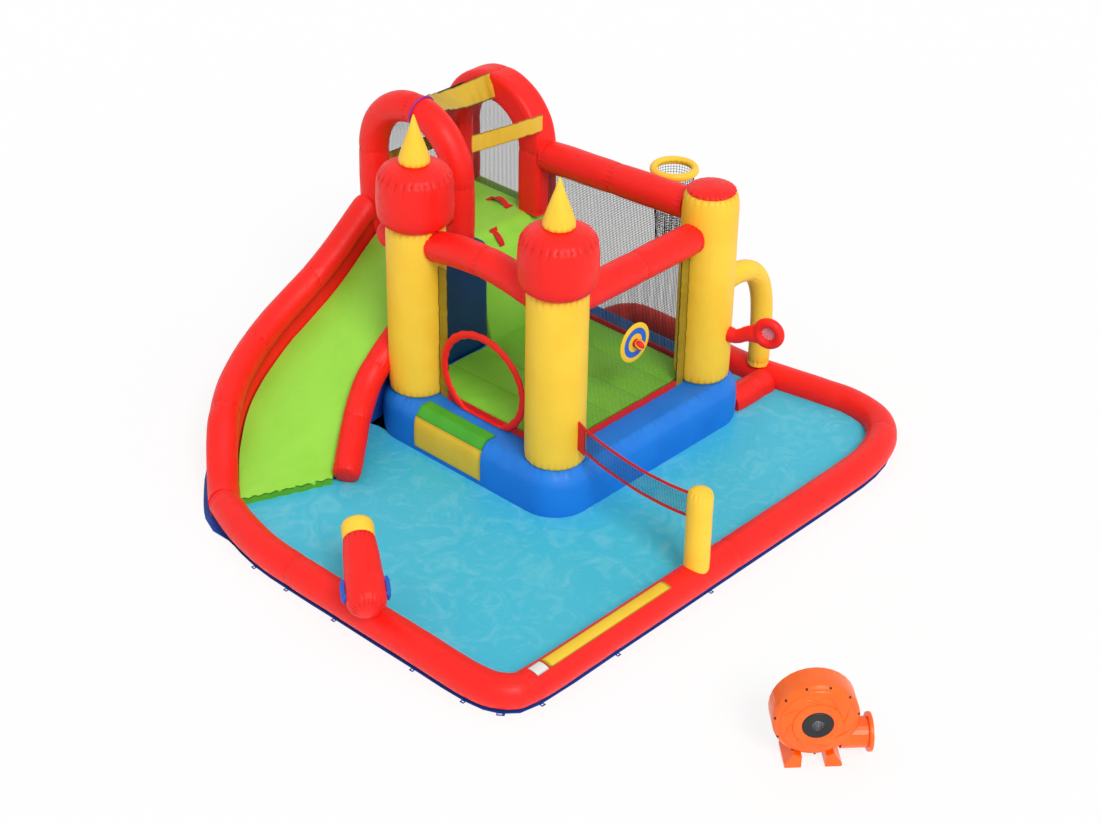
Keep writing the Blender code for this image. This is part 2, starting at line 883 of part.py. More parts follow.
def platform():
    """The block behind the arches, its mat and the climbing ramp up to it."""
    left = slide_top_x + gap
    box("platform_block", (left, slide_front, seat), (platform_right, slide_back, block_top),
        navy, base_bulge / 2)
    profile = (
        (slide_front, block_top + gap),
        (slide_front, platform_height - bed_thickness * 0.4),
        (slide_front + bed_thickness, platform_height),
        (slide_back, platform_height),
        (slide_back, block_top + gap),
    )
    rings = [[(x, y, z) for y, z in profile] for x in (left, platform_right)]
    loft("platform_mat", rings, green)
    ramp_top = platform_height - bed_thickness
    foot = base_top + ramp_foot_rise
    run = slide_front - gap - ramp_foot
    rise = ramp_top - foot
    profile = [(ramp_foot, floor_level), (ramp_foot, foot)]
    profile += [
        (ramp_foot + run * share, foot + rise * lift)
        for share, lift in ((0.2, 0.34), (0.45, 0.67), (0.72, 0.90), (1.0, 1.0))
    ]
    profile += [(ramp_foot + run, floor_level)]
    rings = [[(x, y, z) for y, z in profile] for x in (left, ramp_right)]
    loft("climb_ramp", rings, green)
    box("side_cushion", (cushion_left, cushion_front, floor_level),
        (left - gap * 2, slide_front - gap, cushion_height), navy, base_bulge * 1.5, 3)


def arch_path(x, axis, radius, springing, right_foot, left_foot, steps=12):
    path = [Vector((x, axis - radius, right_foot))]
    for i in range(steps + 1):
        angle = pi * i / steps
        path.append(Vector((x, axis - radius * cos(angle), springing + radius * sin(angle))))
    path.append(Vector((x, axis + radius, left_foot)))
    return path


def arches():
    """The round arch over the slide and the square-cut arch behind it."""
    path = arch_path(arch_x, slide_axis, arch_radius, arch_springing, cushion_height + gap, seat)
    tube("slide_arch", path, arch_tube_radius, red, up=(1, 0, 0))
    foot = platform_height + gap
    path = arch_path(rear_arch_x, rear_arch_axis, rear_arch_radius, rear_arch_springing, foot,
                     foot)
    tube("climb_arch", path, rear_arch_half, red, up=(1, 0, 0), squareness=5.0)


def arch_bands():
    """Yellow bands from arch to arch, over the top and at both sides."""
    near_x = arch_x + arch_tube_radius + gap
    far_x = rear_arch_x - rear_arch_half - gap
    half = band_width / 2
    arch_top = arch_springing + arch_radius
    rear_top = rear_arch_springing + rear_arch_radius
    rings = []
    for x, y, z in ((near_x, slide_axis, arch_top), (far_x, rear_arch_axis, rear_top)):
        rings.append([
            (x, y - band_width, z - band_thickness), (x, y + band_width, z - band_thickness),
            (x, y + band_width, z + band_thickness), (x, y - band_width, z + band_thickness),
        ])
    loft("crown_band", rings, mustard)
    sides = (
        ("near_guard_band", slide_axis - arch_radius, rear_arch_axis - rear_arch_radius,
         guard_height),
        ("far_guard_band", slide_axis + arch_radius, rear_arch_axis + rear_arch_radius,
         far_guard_height),
    )
    for name, near_y, far_y, height in sides:
        rings = []
        for x, y in ((near_x, near_y), (far_x, far_y)):
            rings.append([
                (x, y - band_thickness, height - half), (x, y + band_thickness, height - half),
                (x, y + band_thickness, height + half), (x, y - band_thickness, height + half),
            ])
        loft(name, rings, mustard)


def handholds():
    """Two webbing straps on the climb, arched up for the hand."""
    height = platform_height - hold_thickness / 2
    spots = ((upper_hold_x, slide_axis, height), (lower_hold_x, lower_hold_y, height))
    mat = bpy.data.objects["platform_mat"]
    for name, (x, y, z) in zip(("join_upper_hold", "join_lower_hold"), spots):
        steps = 6
        rings = []
        for i in range(steps + 1):
            share = i / steps
            lift = hold_rise * sin(pi * share)
            along = (share - 0.5) * hold_length
            rings.append([
                (x - hold_width / 2, y + along, z + lift),
                (x + hold_width / 2, y + along, z + lift),
                (x + hold_width / 2, y + along, z + lift + hold_thickness),
                (x - hold_width / 2, y + along, z + lift + hold_thickness),
            ])
        cut(mat, loft(name, rings, webbing), "UNION")


def hose_tie():
    """The thin spray hose that loops round the top of the slide arch."""
    arch = arch_path(arch_x, slide_axis, arch_radius, arch_springing, cushion_height, seat)
    lean = radians(hose_lean)
    centre = Vector((arch_x, slide_axis - arch_radius * sin(lean),
                     arch_springing + arch_radius * cos(lean)))
    out = Vector((0, -sin(lean), cos(lean)))
    radius = arch_tube_radius + hose_tie_radius + gap
    steps = 20
    rings = []
    for i in range(steps):
        angle = 2 * pi * i / steps
        spoke = out * cos(angle) + Vector((1, 0, 0)) * sin(angle)
        along = Vector((0, cos(lean), sin(lean)))
        rings.append([
            centre + spoke * (radius + hose_tie_radius * cos(a)) + along * hose_tie_radius * sin(a)
            for a in (pi / 4, 3 * pi / 4, 5 * pi / 4, 7 * pi / 4)
        ])
    tie = loft("hose_tie", rings, purple, closed=True)
    cut(tie, tube("cut_hose_tie", arch, arch_tube_radius + gap, red, up=(1, 0, 0)))


def nets():
    """Nets that close the castle and the arches, with hems and yellow flaps."""
    net_foot = floor_level
    beam_foot = beam_height - beam_radius - gap
    door_low = castle_depth - tower_radius - flap_width
    door_start = tower_radius + gap * 2
    width = door_low - door_start - gap

    def entry_top(u):
        share = (door_start + u) / castle_depth
        return beam_foot - beam_radius * 0.1 + entry_beam_rise * 0.8 * (1 - (2 * share - 1) ** 2)

    def level(height):
        return lambda u: height

    entry = net("entry_net", (0, door_start, 0), (0, 1, 0), width, entry_top, level(net_foot),
                7, 7, mesh_grey, hem_height)
    door_height = net_foot + hem_height + door_half_height
    door = cylinder("cut_doorway", (0, door_centre_y, door_height), door_half_width,
                    overrun * 4, red, "X")
    scale = Matrix.Diagonal((1, 1, door_half_height / door_half_width, 1))
    place = Matrix.Translation((0, door_centre_y, door_height))
    door.data.transform(place @ scale @ place.inverted())
    cut(entry, door)
    trim = []
    steps = 32
    for i in range(steps):
        angle = 2 * pi * i / steps
        ring = []
        for across, through in ((-0.6, 0.0), (1.0, 0.0), (1.0, 1.0), (-0.6, 1.0)):
            y = door_centre_y + (door_half_width + door_trim * across) * cos(angle)
            z = door_height + (door_half_height + door_trim * across) * sin(angle)
            ring.append((-gap - door_trim * through, y, z))
        trim.append(ring)
    loft("doorway_ring", trim, webbing, closed=True)

    front_width = castle_width - column_radius - flap_width - door_start - gap * 3
    net("front_net", (door_start, 0, 0), (1, 0, 0), front_width, level(beam_foot),
        level(net_foot), 7, 6, mesh_grey, hem_height)
    leg_face = rear_arch_axis - rear_arch_radius - rear_arch_half
    back_start = column_radius + gap * 2
    back_width = leg_face - back_start - gap * 2

    def back_top(u):
        share = (back_start + u - column_radius / 2) / (leg_face - column_radius / 2)
        return back_beam_height - back_beam_radius - back_beam_drop * share - gap * 12

    net("back_net", (castle_width - net_thickness, back_start, 0), (0, 1, 0), back_width,
        back_top, level(net_foot), 8, 6, mesh_grey, hem_height)

    inner = rear_arch_radius - rear_arch_half
    arch_width = 2 * inner - 3 * net_bar
    arch_reach = inner * 0.97
    arch_foot = platform_height + gap

    def arch_top_line(u):
        return rear_arch_springing + sqrt(arch_reach**2 - (u - arch_width / 2) ** 2)

    net("climb_arch_net", (rear_arch_x, rear_arch_axis - arch_width / 2, 0), (0, 1, 0),
        arch_width, arch_top_line, level(arch_foot), 4, 6, mesh_grey)
    near_x = slide_top_x + gap
    far_x = rear_arch_x - rear_arch_half - gap
    side_top = far_guard_height - band_width / 2 - gap
    net("side_net", (near_x, slide_axis + arch_radius, 0), (1, 0, 0), far_x - near_x,
        level(side_top), level(arch_foot), 5, 3, mesh_grey)

    flap_high = beam_foot - beam_radius * 0.15
    flap_x = hem_thickness
    reach = castle_depth - sqrt((tower_radius + gap) ** 2 - flap_x**2)
    box("entry_flap", (0, door_low, net_foot), (flap_x, reach - gap, flap_high), yellow)
    reach = castle_width - sqrt((column_radius + gap) ** 2 - flap_x**2)
    box("front_flap", (castle_width - column_radius - flap_width, -flap_x, net_foot),
        (reach - gap, 0, flap_high), yellow)


def target():
    """The hook-and-loop target on the front net, and its ball."""
    face = -net_thickness - gap
    centre = (target_x, face - target_thickness / 2, target_height)
    cylinder("target_disc", centre, target_radius, target_thickness, target_print, "Y")
    bm = bmesh.new()
    bmesh.ops.create_uvsphere(bm, u_segments=12, v_segments=8, radius=ball_radius)
    spot = (target_x, face - target_thickness - ball_radius - gap, target_height)
    bmesh.ops.translate(bm, vec=spot, verts=bm.verts[:])
    finish(bm, "target_ball", webbing)


def side_arch(cutters):
    """The yellow arch from the corner column down onto the pool wall's corner."""
    foot_x = pool_corner_x
    start_x = castle_width + column_radius / 2
    span = foot_x - start_x
    foot_z = tube_top + gap
    drop = side_arch_height - foot_z
    points = [
        Vector((start_x, 0, side_arch_height)),
        Vector((start_x + span * 0.45, 0, side_arch_height + drop * 0.01)),
        Vector((start_x + span * 0.74, 0, side_arch_height - drop * 0.06)),
        Vector((start_x + span * 0.92, 0, side_arch_height - drop * 0.24)),
        Vector((foot_x, 0, side_arch_height - drop * 0.55)),
        Vector((foot_x, 0, tube_centre)),
    ]
    path = smooth_path(points, 3)
    arch = tube("side_arch", path, side_arch_radius, yellow, up=(0, 1, 0))
    cut(arch, cutters["column"])
    cut(arch, bpy.data.objects["cut_divider"])
    radius = pool_tube_radius + gap
    ends = [(castle_width, -divider_offset, tube_centre),
            (pool_corner_x + pool_tube_radius * 2, -divider_offset, tube_centre)]
    cutter = tube("cut_side_arch", [Vector(p) for p in ends], radius, red)
    cut(arch, cutter)


def toss_ring(cutters):
    """A ring on a short neck at the column, closed by a soft web."""
    turn = radians(toss_heading)
    heading = Vector((sin(turn), -cos(turn), 0))
    root = Vector((castle_width, 0, toss_height))
    lift = Vector((0, 0, toss_neck_radius * 2))
    centre = root + heading * (column_radius + toss_reach * 0.75) + lift
    end = centre - (heading * 0.94 + Vector((0, 0, 0.28))) * (toss_ring_radius)
    neck_path = [root + heading * column_radius * 0.6, root + heading * column_radius * 1.3,
                 (root + heading * column_radius * 1.3 + end) / 2 + lift * 0.1, end]
    sections = []
    for share, ring in zip((1.0, 1.0, 0.85, 0.72), sweep_rings(neck_path, round_section(1.0, 12))):
        middle = neck_path[len(sections)]
        sections.append([middle + (Vector(p) - middle) * toss_neck_radius * share for p in ring])
    neck = loft("toss_ring", sections, red)
    cut(neck, cutters["column"])
    steps = 20
    rings = []
    upright = Vector((0, 0, 1))
    face = heading.cross(upright)
    for i in range(steps):
        angle = 2 * pi * i / steps
        spoke = heading * cos(angle) + upright * sin(angle)
        rings.append([
            centre + spoke * (toss_ring_radius + toss_tube_radius * cos(a))
            + face * toss_tube_radius * sin(a)
            for a in [2 * pi * k / 8 for k in range(8)]
        ])
    cut(neck, loft("join_toss_ring", rings, red, closed=True), "UNION")
    web_radius = toss_ring_radius - toss_tube_radius - gap
    rings = []
    for side in (-0.5, 0.5):
        rings.append([
            centre + face * toss_web_thickness * side
            + (heading * cos(a) + upright * sin(a)) * web_radius
            for a in [2 * pi * k / steps for k in range(steps)]
        ])
    loft("toss_web", rings, pink)


def basket():
    """The ball hoop outside the back beam, with the mesh chute below it."""
    leg_face = rear_arch_axis - rear_arch_radius - rear_arch_half - gap
    start = column_radius / 2
    beam_fall = back_beam_drop * (hoop_y - start) / (leg_face - start)
    beam_rise = hoop_height - back_beam_height + beam_fall
    beam_face = back_beam_radius * cos(pi / tube_sides)
    touch = beam_face + hoop_tube_radius * hoop_face_share + gap
    centre_x = castle_width + hoop_radius + sqrt(touch**2 - beam_rise**2)
    steps = 20
    rings = []
    for i in range(steps):
        angle = 2 * pi * i / steps
        spoke = Vector((cos(angle), sin(angle), 0))
        rings.append([
            Vector((centre_x, hoop_y, hoop_height))
            + spoke * (hoop_radius + hoop_tube_radius * cos(a))
            + Vector((0, 0, hoop_tube_radius * sin(a)))
            for a in [2 * pi * k / 8 for k in range(8)]
        ])
    loft("basket_hoop", rings, yellow, closed=True)
    top = hoop_height - hoop_tube_radius - gap
    bm = bmesh.new()
    layers = []
    bar_share = 0.16
    for side in (0.0, net_thickness):
        grid = []
        for row in range(hoop_net_rows + 1):
            for edge in (0.0, bar_share):
                share = (row + edge) / (hoop_net_rows + bar_share)
                radius = hoop_radius + (hoop_net_end_radius - hoop_radius) * share - side
                line = []
                for k in range(hoop_net_gaps):
                    for part in (0.0, bar_share):
                        angle = 2 * pi * (k + part) / hoop_net_gaps
                        line.append(bm.verts.new((centre_x + radius * cos(angle),
                                                  hoop_y + radius * sin(angle),
                                                  top - hoop_net_height * share)))
                grid.append(line)
        layers.append(grid)
    outer, inner = layers
    rows = len(outer)
    columns = len(outer[0])

    def hole(i, j):
        return i % 2 == 1 and j % 2 == 1

    for i in range(rows - 1):
        for j in range(columns):
            n = (j + 1) % columns
            if not hole(i, j):
                bm.faces.new((outer[i][j], outer[i + 1][j], outer[i + 1][n], outer[i][n]))
                bm.faces.new((inner[i][n], inner[i + 1][n], inner[i + 1][j], inner[i][j]))
                continue
            for (r1, c1), (r2, c2) in (((i, j), (i, n)), ((i, n), (i + 1, n)),
                                       ((i + 1, n), (i + 1, j)), ((i + 1, j), (i, j))):
                bm.faces.new((outer[r1][c1], outer[r2][c2], inner[r2][c2], inner[r1][c1]))
    for i in (0, rows - 1):
        for j in range(columns):
            n = (j + 1) % columns
            bm.faces.new((outer[i][j], outer[i][n], inner[i][n], inner[i][j]))
    finish(bm, "basket_net", mesh_grey)


def volley():
    """The sagging net over the pool and the round post on the front wall."""
    foot = tube_centre
    profile = (
        (0, post_top),
        (post_radius * 0.6, post_top - post_radius * 0.12),
        (post_radius * 0.95, post_top - post_radius * 0.42),
        (post_radius, post_top - post_radius * 0.8),
        (post_radius, foot),
        (0, foot),
    )
    post = turned("volley_post", profile, yellow, (post_x, -pool_front, 0), turned_steps // 2)
    reach = pool_tube_radius * 3
    ends = [Vector((post_x - reach, -pool_front, tube_centre)),
            Vector((post_x + reach, -pool_front, tube_centre))]
    cut(post, tube("cut_post", ends, pool_tube_radius + gap, red))

    start = Vector((0, -tower_radius - gap * 2, 0))
    end = Vector((post_x, -pool_front + post_radius + gap * 2, 0))
    along = end - start
    width = along.length

    def upper(u):
        share = u / width
        return (volley_high + volley_height * (1 - share * 0.3)
                + (volley_low - volley_high) * share - volley_sag * 4 * share * (1 - share))

    def lower(u):
        share = u / width
        return upper(u) - volley_height * (1 - share * 0.3)

    net("volley_net", start, along, width, upper, lower, 10, 3, mesh_grey, volley_hem,
        volley_hem)


def cannon():
    """The water cannon on its neck on the left wall; it turns about the neck's axis."""
    pivot = Vector((cannon_x, cannon_y, tube_top))
    neck_top = tube_top + cannon_neck_height
    profile = (
        (0, neck_top),
        (cannon_neck_radius, neck_top),
        (cannon_neck_radius, tube_centre),
        (0, tube_centre),
    )
    neck = turned("cannon_neck", profile, red, (cannon_x, cannon_y, 0), turned_steps // 2)
    reach = pool_tube_radius * 3
    ends = [Vector((cannon_x, cannon_y - reach, tube_centre)),
            Vector((cannon_x, cannon_y + reach, tube_centre))]
    cut(neck, tube("cut_neck", ends, pool_tube_radius + gap, red))

    tilt = radians(cannon_tilt)
    heading = radians(90.0 - cannon_heading)
    forward = Vector((cos(heading) * cos(tilt), sin(heading) * cos(tilt), sin(tilt)))
    at_pivot = barrel_tail_radius / cos(tilt)
    axis_point = Vector((cannon_x, cannon_y, neck_top + at_pivot))
    right = forward.cross(Vector((0, 0, 1))).normalized()
    up = right.cross(forward)

    def ring(distance, radius, sides=20):
        return [
            axis_point + forward * distance
            + (right * cos(a) + up * sin(a)) * radius
            for a in [2 * pi * k / sides for k in range(sides)]
        ]

    length = barrel_back + barrel_front
    stations = []
    for share, size in ((0.0, 0.60), (0.03, 0.86), (0.09, 0.99), (0.15, 1.0)):
        stations.append((-barrel_back + length * share, barrel_tail_radius * size))
    stations.append((0.0, (barrel_tail_radius * 2 + barrel_nose_radius) / 3))
    stations.append((barrel_front, barrel_nose_radius))
    barrel = loft("cannon_barrel", [ring(d, r) for d, r in stations], red)
    flat_low = neck_top + gap
    cut_low = box("cut_barrel_seat",
                  (cannon_x - cannon_neck_radius, cannon_y - cannon_neck_radius,
                   neck_top - barrel_tail_radius),
                  (cannon_x + cannon_neck_radius, cannon_y + cannon_neck_radius, flat_low), red)
    cut(barrel, cut_low)
    start = barrel_front + gap
    end = start + nozzle_length
    deep = end - nozzle_bore_depth
    rings = [ring(deep, nozzle_bore), ring(end - gap, nozzle_bore), ring(end, nozzle_bore),
             ring(end, barrel_nose_radius * 0.93), ring(end - nozzle_length * 0.2,
                                                       barrel_nose_radius),
             ring(start, barrel_nose_radius)]
    nozzle = loft("cannon_nozzle", rings, yellow)
    for name, side in (("right_handle", 1), ("left_handle", -1)):
        middle = axis_point - forward * barrel_back * 0.45
        path = []
        for share, out in ((-0.5, 0.0), (-0.38, 1.0), (0.38, 1.0), (0.5, 0.0)):
            away = barrel_tail_radius * 0.95 + handle_width * out
            path.append(middle + forward * handle_length * share + right * side * away)
        section = [(a * handle_width / 2, b * handle_thickness / 4)
                   for a, b in ((-1, -1), (1, -1), (1, 1), (-1, 1))]
        handle = loft(f"join_{name}", sweep_rings(path, section, up=right * side), blue_webbing)
        cut(barrel, handle, "UNION")
    for made in (barrel, nozzle):
        set_origin(made, pivot)
    return pivot


def blower_frame(point):
    """A point of the blower's own frame, front towards -Y, placed beside the slide."""
    turn = Matrix.Rotation(radians(blower_turn), 4, "Z")
    return Matrix.Translation((blower_x, blower_y, 0)) @ turn @ Matrix(point)


def place_blower(made):
    """Carry a piece from the blower's own frame to its place."""
    made.data.transform(blower_frame(Matrix()))
    return made


def turned_on_axis(name, profile, finish_material, steps=turned_steps):
    """Spin (radius, y) points about the blower's level fan axis."""
    made = turned(name, profile, finish_material, (0, 0, 0), steps)
    made.data.transform(Matrix.Translation((0, 0, axis_height)) @ Matrix.Rotation(pi / 2, 4, "X"))
    return made


def blower_housing():
    """Two turned half shells with stepped rings, and the duct's opening in them."""
    wall = housing_wall
    deep = housing_half_depth
    outer = housing_radius
    hub = hub_ring_radius
    eye = intake_radius
    front_profile = (
        (outer, gap),
        (outer, deep * rim_depth_share),
        *[(outer * across, deep * along) for across, along in front_step_shares],
        (hub, deep * hub_depth_share),
        (hub * hub_crest_share, deep),
        (eye, deep),
        (eye, deep - wall),
        (hub * hub_inner_shares[0], deep - wall),
        (hub * hub_inner_shares[1], deep * hub_depth_share - wall),
        *[(outer * across, deep * along - wall) for across, along in front_inner_shares],
        (outer - wall, deep * rim_depth_share - wall),
        (outer - wall, gap),
    )
    front = turned_on_axis("blower_front_shell", front_profile, orange)
    rear_profile = (
        (motor_radius - wall, -deep),
        (outer * rear_face_shares[0], -deep * rear_face_shares[1]),
        (outer, -deep * rear_rim_share),
        (outer, -gap),
        (outer - wall, -gap),
        (outer - wall, -deep * rear_rim_share + wall),
        (outer * rear_face_inner_share, -deep * rear_face_shares[1] + wall),
        (motor_radius - wall, -deep + wall),
    )
    rear = turned_on_axis("blower_rear_shell", rear_profile, orange)
    hole_start = outer * outlet_start_share
    hole_end = duct_reach + overrun
    hole = cylinder("cut_outlet", ((hole_start + hole_end) / 2, 0, duct_height),
                    duct_radius + gap, hole_end - hole_start, orange, "X", duct_sides)
    place_blower(hole)
    for shell in (front, rear):
        place_blower(shell)
    cut(front, hole)
    blower_feet(rear)
    cut(rear, hole)
    ribs = []
    for i in range(rib_count):
        start = 2 * pi * i / rib_count
        inner = hub * rib_start_share
        far = outer * rib_end_share
        steps = 3
        rings = []
        for j in range(steps + 1):
            share = j / steps
            radius = inner + (far - inner) * share
            angle = start + share * rib_sweep
            face = -deep * (hub_depth_share - rib_fall_share * share) + wall / 2
            spot = Vector((radius * cos(angle), face, axis_height + radius * sin(angle)))
            slant = angle + rib_slant
            side = Vector((-sin(slant), 0, cos(slant))) * rib_width / 2
            rise = Vector((0, -wall * 1.5, 0))
            rings.append([spot - side, spot + side, spot + side * 0.5 + rise,
                          spot - side * 0.5 + rise])
        ribs.append(rings)
    bm = bmesh.new()
    for rings in ribs:
        rows = [[bm.verts.new(point) for point in ring] for ring in rings]
        for low, high in zip(rows, rows[1:]):
            for k in range(len(low)):
                n = (k + 1) % len(low)
                bm.faces.new((low[k], low[n], high[n], high[k]))
        bm.faces.new(rows[0])
        bm.faces.new(rows[-1])
    moulded = place_blower(finish(bm, "join_ribs", orange))
    cut(front, moulded, "UNION")


def grille_plate(name, centre, radius, axis):
    """A round grille plate, set in the housing."""
    return place_blower(cylinder(name, centre, radius, housing_wall, black, axis, 24))


def blower_outlet():
    """The round duct at the foot of the housing, its flange and dark grille."""
    inner = duct_radius - housing_wall
    start = housing_radius * duct_start_share
    end = duct_reach
    back = end - flange_thickness
    rings = []
    for radius, x in ((duct_radius, start), (duct_radius, back),
                      (flange_radius * flange_lip_share, back),
                      (flange_radius, end - flange_thickness * flange_bevel_share),
                      (flange_radius, end), (inner, end), (inner, start)):
        rings.append([
            Vector((x, radius * cos(a), duct_height + radius * sin(a)))
            for a in [2 * pi * k / duct_sides for k in range(duct_sides)]
        ])
    place_blower(loft("outlet_duct", rings, orange, closed=True))


def blower_grilles():
    """The slotted plate in the outlet and the round-holed plate at the intake."""
    radius = duct_radius - housing_wall - gap
    outlet = grille_plate("outlet_grille", (duct_reach - overrun, 0, duct_height), radius, "X")
    eye = intake_radius * cos(pi / turned_steps) - gap
    front = housing_half_depth
    intake = grille_plate("intake_grille", (0, housing_wall / 2 - front, axis_height), eye, "Y")
    pitch = radius * 0.34
    for i in (-2, -1, 0, 1, 2):
        reach = sqrt((radius * 0.9) ** 2 - ((abs(i) + 0.3) * pitch) ** 2)
        low = duct_height + i * pitch - pitch * 0.3
        slot = box(f"cut_outlet_slot_{i + 3}", (duct_reach - overrun * 2, -reach, low),
                   (duct_reach, reach, low + pitch * 0.6), black)
        cut(outlet, place_blower(slot))
    hole_radius = eye * 0.14
    for ring_share, count in ((0.30, 5), (0.66, 10)):
        for k in range(count):
            angle = 2 * pi * k / count
            spot = (eye * ring_share * cos(angle), -front,
                    axis_height + eye * ring_share * sin(angle))
            hole = cylinder(f"cut_intake_{count}_{k}", spot, hole_radius, overrun, black, "Y", 6)
            cut(intake, place_blower(hole))


def blower_rotor():
    """Motor, shaft and the wheel with curved blades that they carry."""
    deep = housing_half_depth
    hub = shaft_radius * 2.6
    back = deep - housing_wall - impeller_depth / 8
    wheel = impeller_radius
    plate = housing_wall
    centre = Vector((0, 0, axis_height))
    profile = (
        (shaft_radius + gap, -back + plate * 7),
        (hub, -back + plate * 7),
        (hub, -back + plate * 2),
        (wheel, -back + plate * 2),
        (wheel, -back + plate),
        (shaft_radius + gap, -back + plate),
    )
    wheel_made = turned_on_axis("impeller", profile, black, 24)
    blades = []
    for i in range(blade_count):
        start = 2 * pi * i / blade_count
        rings = []
        steps = 3
        for j in range(steps + 1):
            share = j / steps
            radius = wheel * (0.55 + 0.42 * share)
            angle = start + share * 0.45
            spot = Vector((radius * cos(angle), 0, radius * sin(angle))) + centre
            side = Vector((-sin(angle + 0.4), 0, cos(angle + 0.4))) * blade_thickness / 2
            low = Vector((0, back - plate * 1.5, 0))
            high = Vector((0, back - impeller_depth, 0))
            rings.append([spot - side + low, spot + side + low, spot + side + high,
                          spot - side + high])
        blades.append(loft(f"join_blade_{i + 1}", rings, black))
    place_blower(wheel_made)
    for blade in blades:
        place_blower(blade)
        cut(wheel_made, blade, "UNION")
    shaft_end = back - impeller_depth * 0.45
    shaft_start = deep + motor_depth * 0.2
    bm = bmesh.new()
    length = shaft_start - shaft_end
    bmesh.ops.create_cone(bm, cap_ends=True, segments=16, radius1=shaft_radius,
                          radius2=shaft_radius, depth=length,
                          matrix=Matrix.Translation((0, shaft_end + length / 2, axis_height))
                          @ Matrix.Rotation(pi / 2, 4, "X"))
    shaft = finish(bm, "motor_shaft", steel)
    place_blower(shaft)
    motor_profile = (
        (0, -deep - motor_depth),
        (motor_radius * 0.8, -deep - motor_depth),
        (motor_radius, -deep - motor_depth * 0.85),
        (motor_radius, -deep - gap),
        (shaft_radius + gap, -deep - gap),
        (shaft_radius + gap, -deep - motor_depth * 0.2 - gap),
        (0, -deep - motor_depth * 0.2 - gap),
    )
    motor = turned_on_axis("motor_housing", motor_profile[::-1], black, 24)
    place_blower(motor)
    pivot = blower_frame(Matrix.Translation(centre)).translation
    for made in (wheel_made, shaft):
        set_origin(made, pivot)
    return pivot


def blower_feet(rear):
    """Two wedge feet moulded with the rear shell; they also pass under the front one."""
    half = foot_width / 2
    deep = foot_width / 2 + overrun
    front_cut = cylinder("cut_feet_front", (0, gap - deep / 2, axis_height),
                         housing_radius + gap, deep + gap * 2, orange, "Y")
    rear_cut = cylinder("cut_feet_rear", (0, deep / 2 + gap, axis_height),
                        housing_radius - housing_wall / 2, deep, orange, "Y", 44)
    cutters = [place_blower(made) for made in (front_cut, rear_cut)]
    for name, side in (("join_left_foot", -1), ("join_right_foot", 1)):
        x = side * foot_spread / 2
        outer = x + side * foot_length * 0.55
        inner = x - side * foot_length * 0.35
        tall = foot_height
        profile = ((outer, 0.0), (outer, tall * 0.25), (x, tall * 1.4), (inner, tall * 1.2),
                   (inner, 0.0))
        rings = [[(px, y, pz) for px, pz in profile] for y in (-half, half)]
        foot = place_blower(loft(name, rings, orange))
        for cutter in cutters:
            cut(foot, cutter)
        cut(rear, foot, "UNION")


def power_switch():
    """A rocker in a bezel on the back of the motor."""
    face = housing_half_depth + motor_depth + gap
    wide = switch_width / 2
    tall = switch_height / 2
    deep = switch_height * 0.5
    motor = bpy.data.objects["motor_housing"]
    bezel = box("join_bezel", (-wide, face - deep, axis_height - tall),
                (wide, face + deep, axis_height + tall), black)
    slot = box("cut_bezel", (-wide * 0.72, face + deep * 0.3, axis_height - tall * 0.62),
               (wide * 0.72, face + deep * 2, axis_height + tall * 0.62), black)
    cut(motor, place_blower(bezel), "UNION")
    cut(motor, place_blower(slot))
    axis_y = face + deep * 0.95
    reach = wide * 0.66
    thick = deep * 0.3
    profile = ((-reach, thick * 0.6), (0, thick * 1.1), (reach, thick * 1.5), (reach, -thick * 0.2),
               (0, -thick), (-reach, -thick * 0.2))
    rings = [[(x, axis_y + y, axis_height + z) for x, y in profile]
             for z in (-tall * 0.55, tall * 0.55)]
    rocker = loft("switch_rocker", rings, red)
    place_blower(rocker)
    pivot = blower_frame(Matrix.Translation((0, axis_y, axis_height))).translation
    set_origin(rocker, pivot)
    return pivot


def centre_whole():
    """Parent every piece to an empty that puts the footprint's middle at the origin."""
    bpy.context.view_layer.update()
    depsgraph = bpy.context.evaluated_depsgraph_get()
    low = Vector((0, 0, 0))
    high = Vector((0, 0, 0))
    for made in bpy.data.objects:
        if made.type != "MESH" or made.hide_render:
            continue
        shown = made.evaluated_get(depsgraph)
        for corner in shown.bound_box:
            point = made.matrix_world @ Vector(corner)
            low = Vector(map(min, low, point))
            high = Vector(map(max, high, point))
    whole = bpy.data.objects.new("whole", None)
    bpy.context.collection.objects.link(whole)
    for made in bpy.data.objects:
        if made.type == "MESH":
            made.parent = whole
    whole.location = (-(low.x + high.x) / 2, -(low.y + high.y) / 2, 0)
    bpy.context.view_layer.update()
    print("offset", [round(v, 5) for v in whole.location])
    print("size", [round(v, 4) for v in high - low])
    return whole


def main():
    for old in list(bpy.data.objects):
        bpy.data.objects.remove(old)
    cutters = tower_cutters()
    anchor_loops(ground_sheet())
    pool_walls()
    bounce_base()
    bounce_floor(cutters)
    towers()
    corner_column()
    beams(cutters)
    rail = slide()
    cut(rail, cutters["entry"])
    platform()
    arches()
    arch_bands()
    handholds()
    hose_tie()
    nets()
    target()
    side_arch(cutters)
    toss_ring(cutters)
    basket()
    volley()
    cannon()
    blower_housing()
    blower_outlet()
    blower_grilles()
    blower_rotor()
    power_switch()
    centre_whole()


main()
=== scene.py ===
"""Looks of an inflatable water slide with bounce castle, splash pool and blower.

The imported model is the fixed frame, in metres and +Z up. Positions below are written from
the axis of the front tower, with the corner column along +X and the entry tower along +Y,
and spot() carries them into the frame. Air-filled pieces are built ring by ring, because
their sewn puckers and seam lines are set out along those rings.
"""

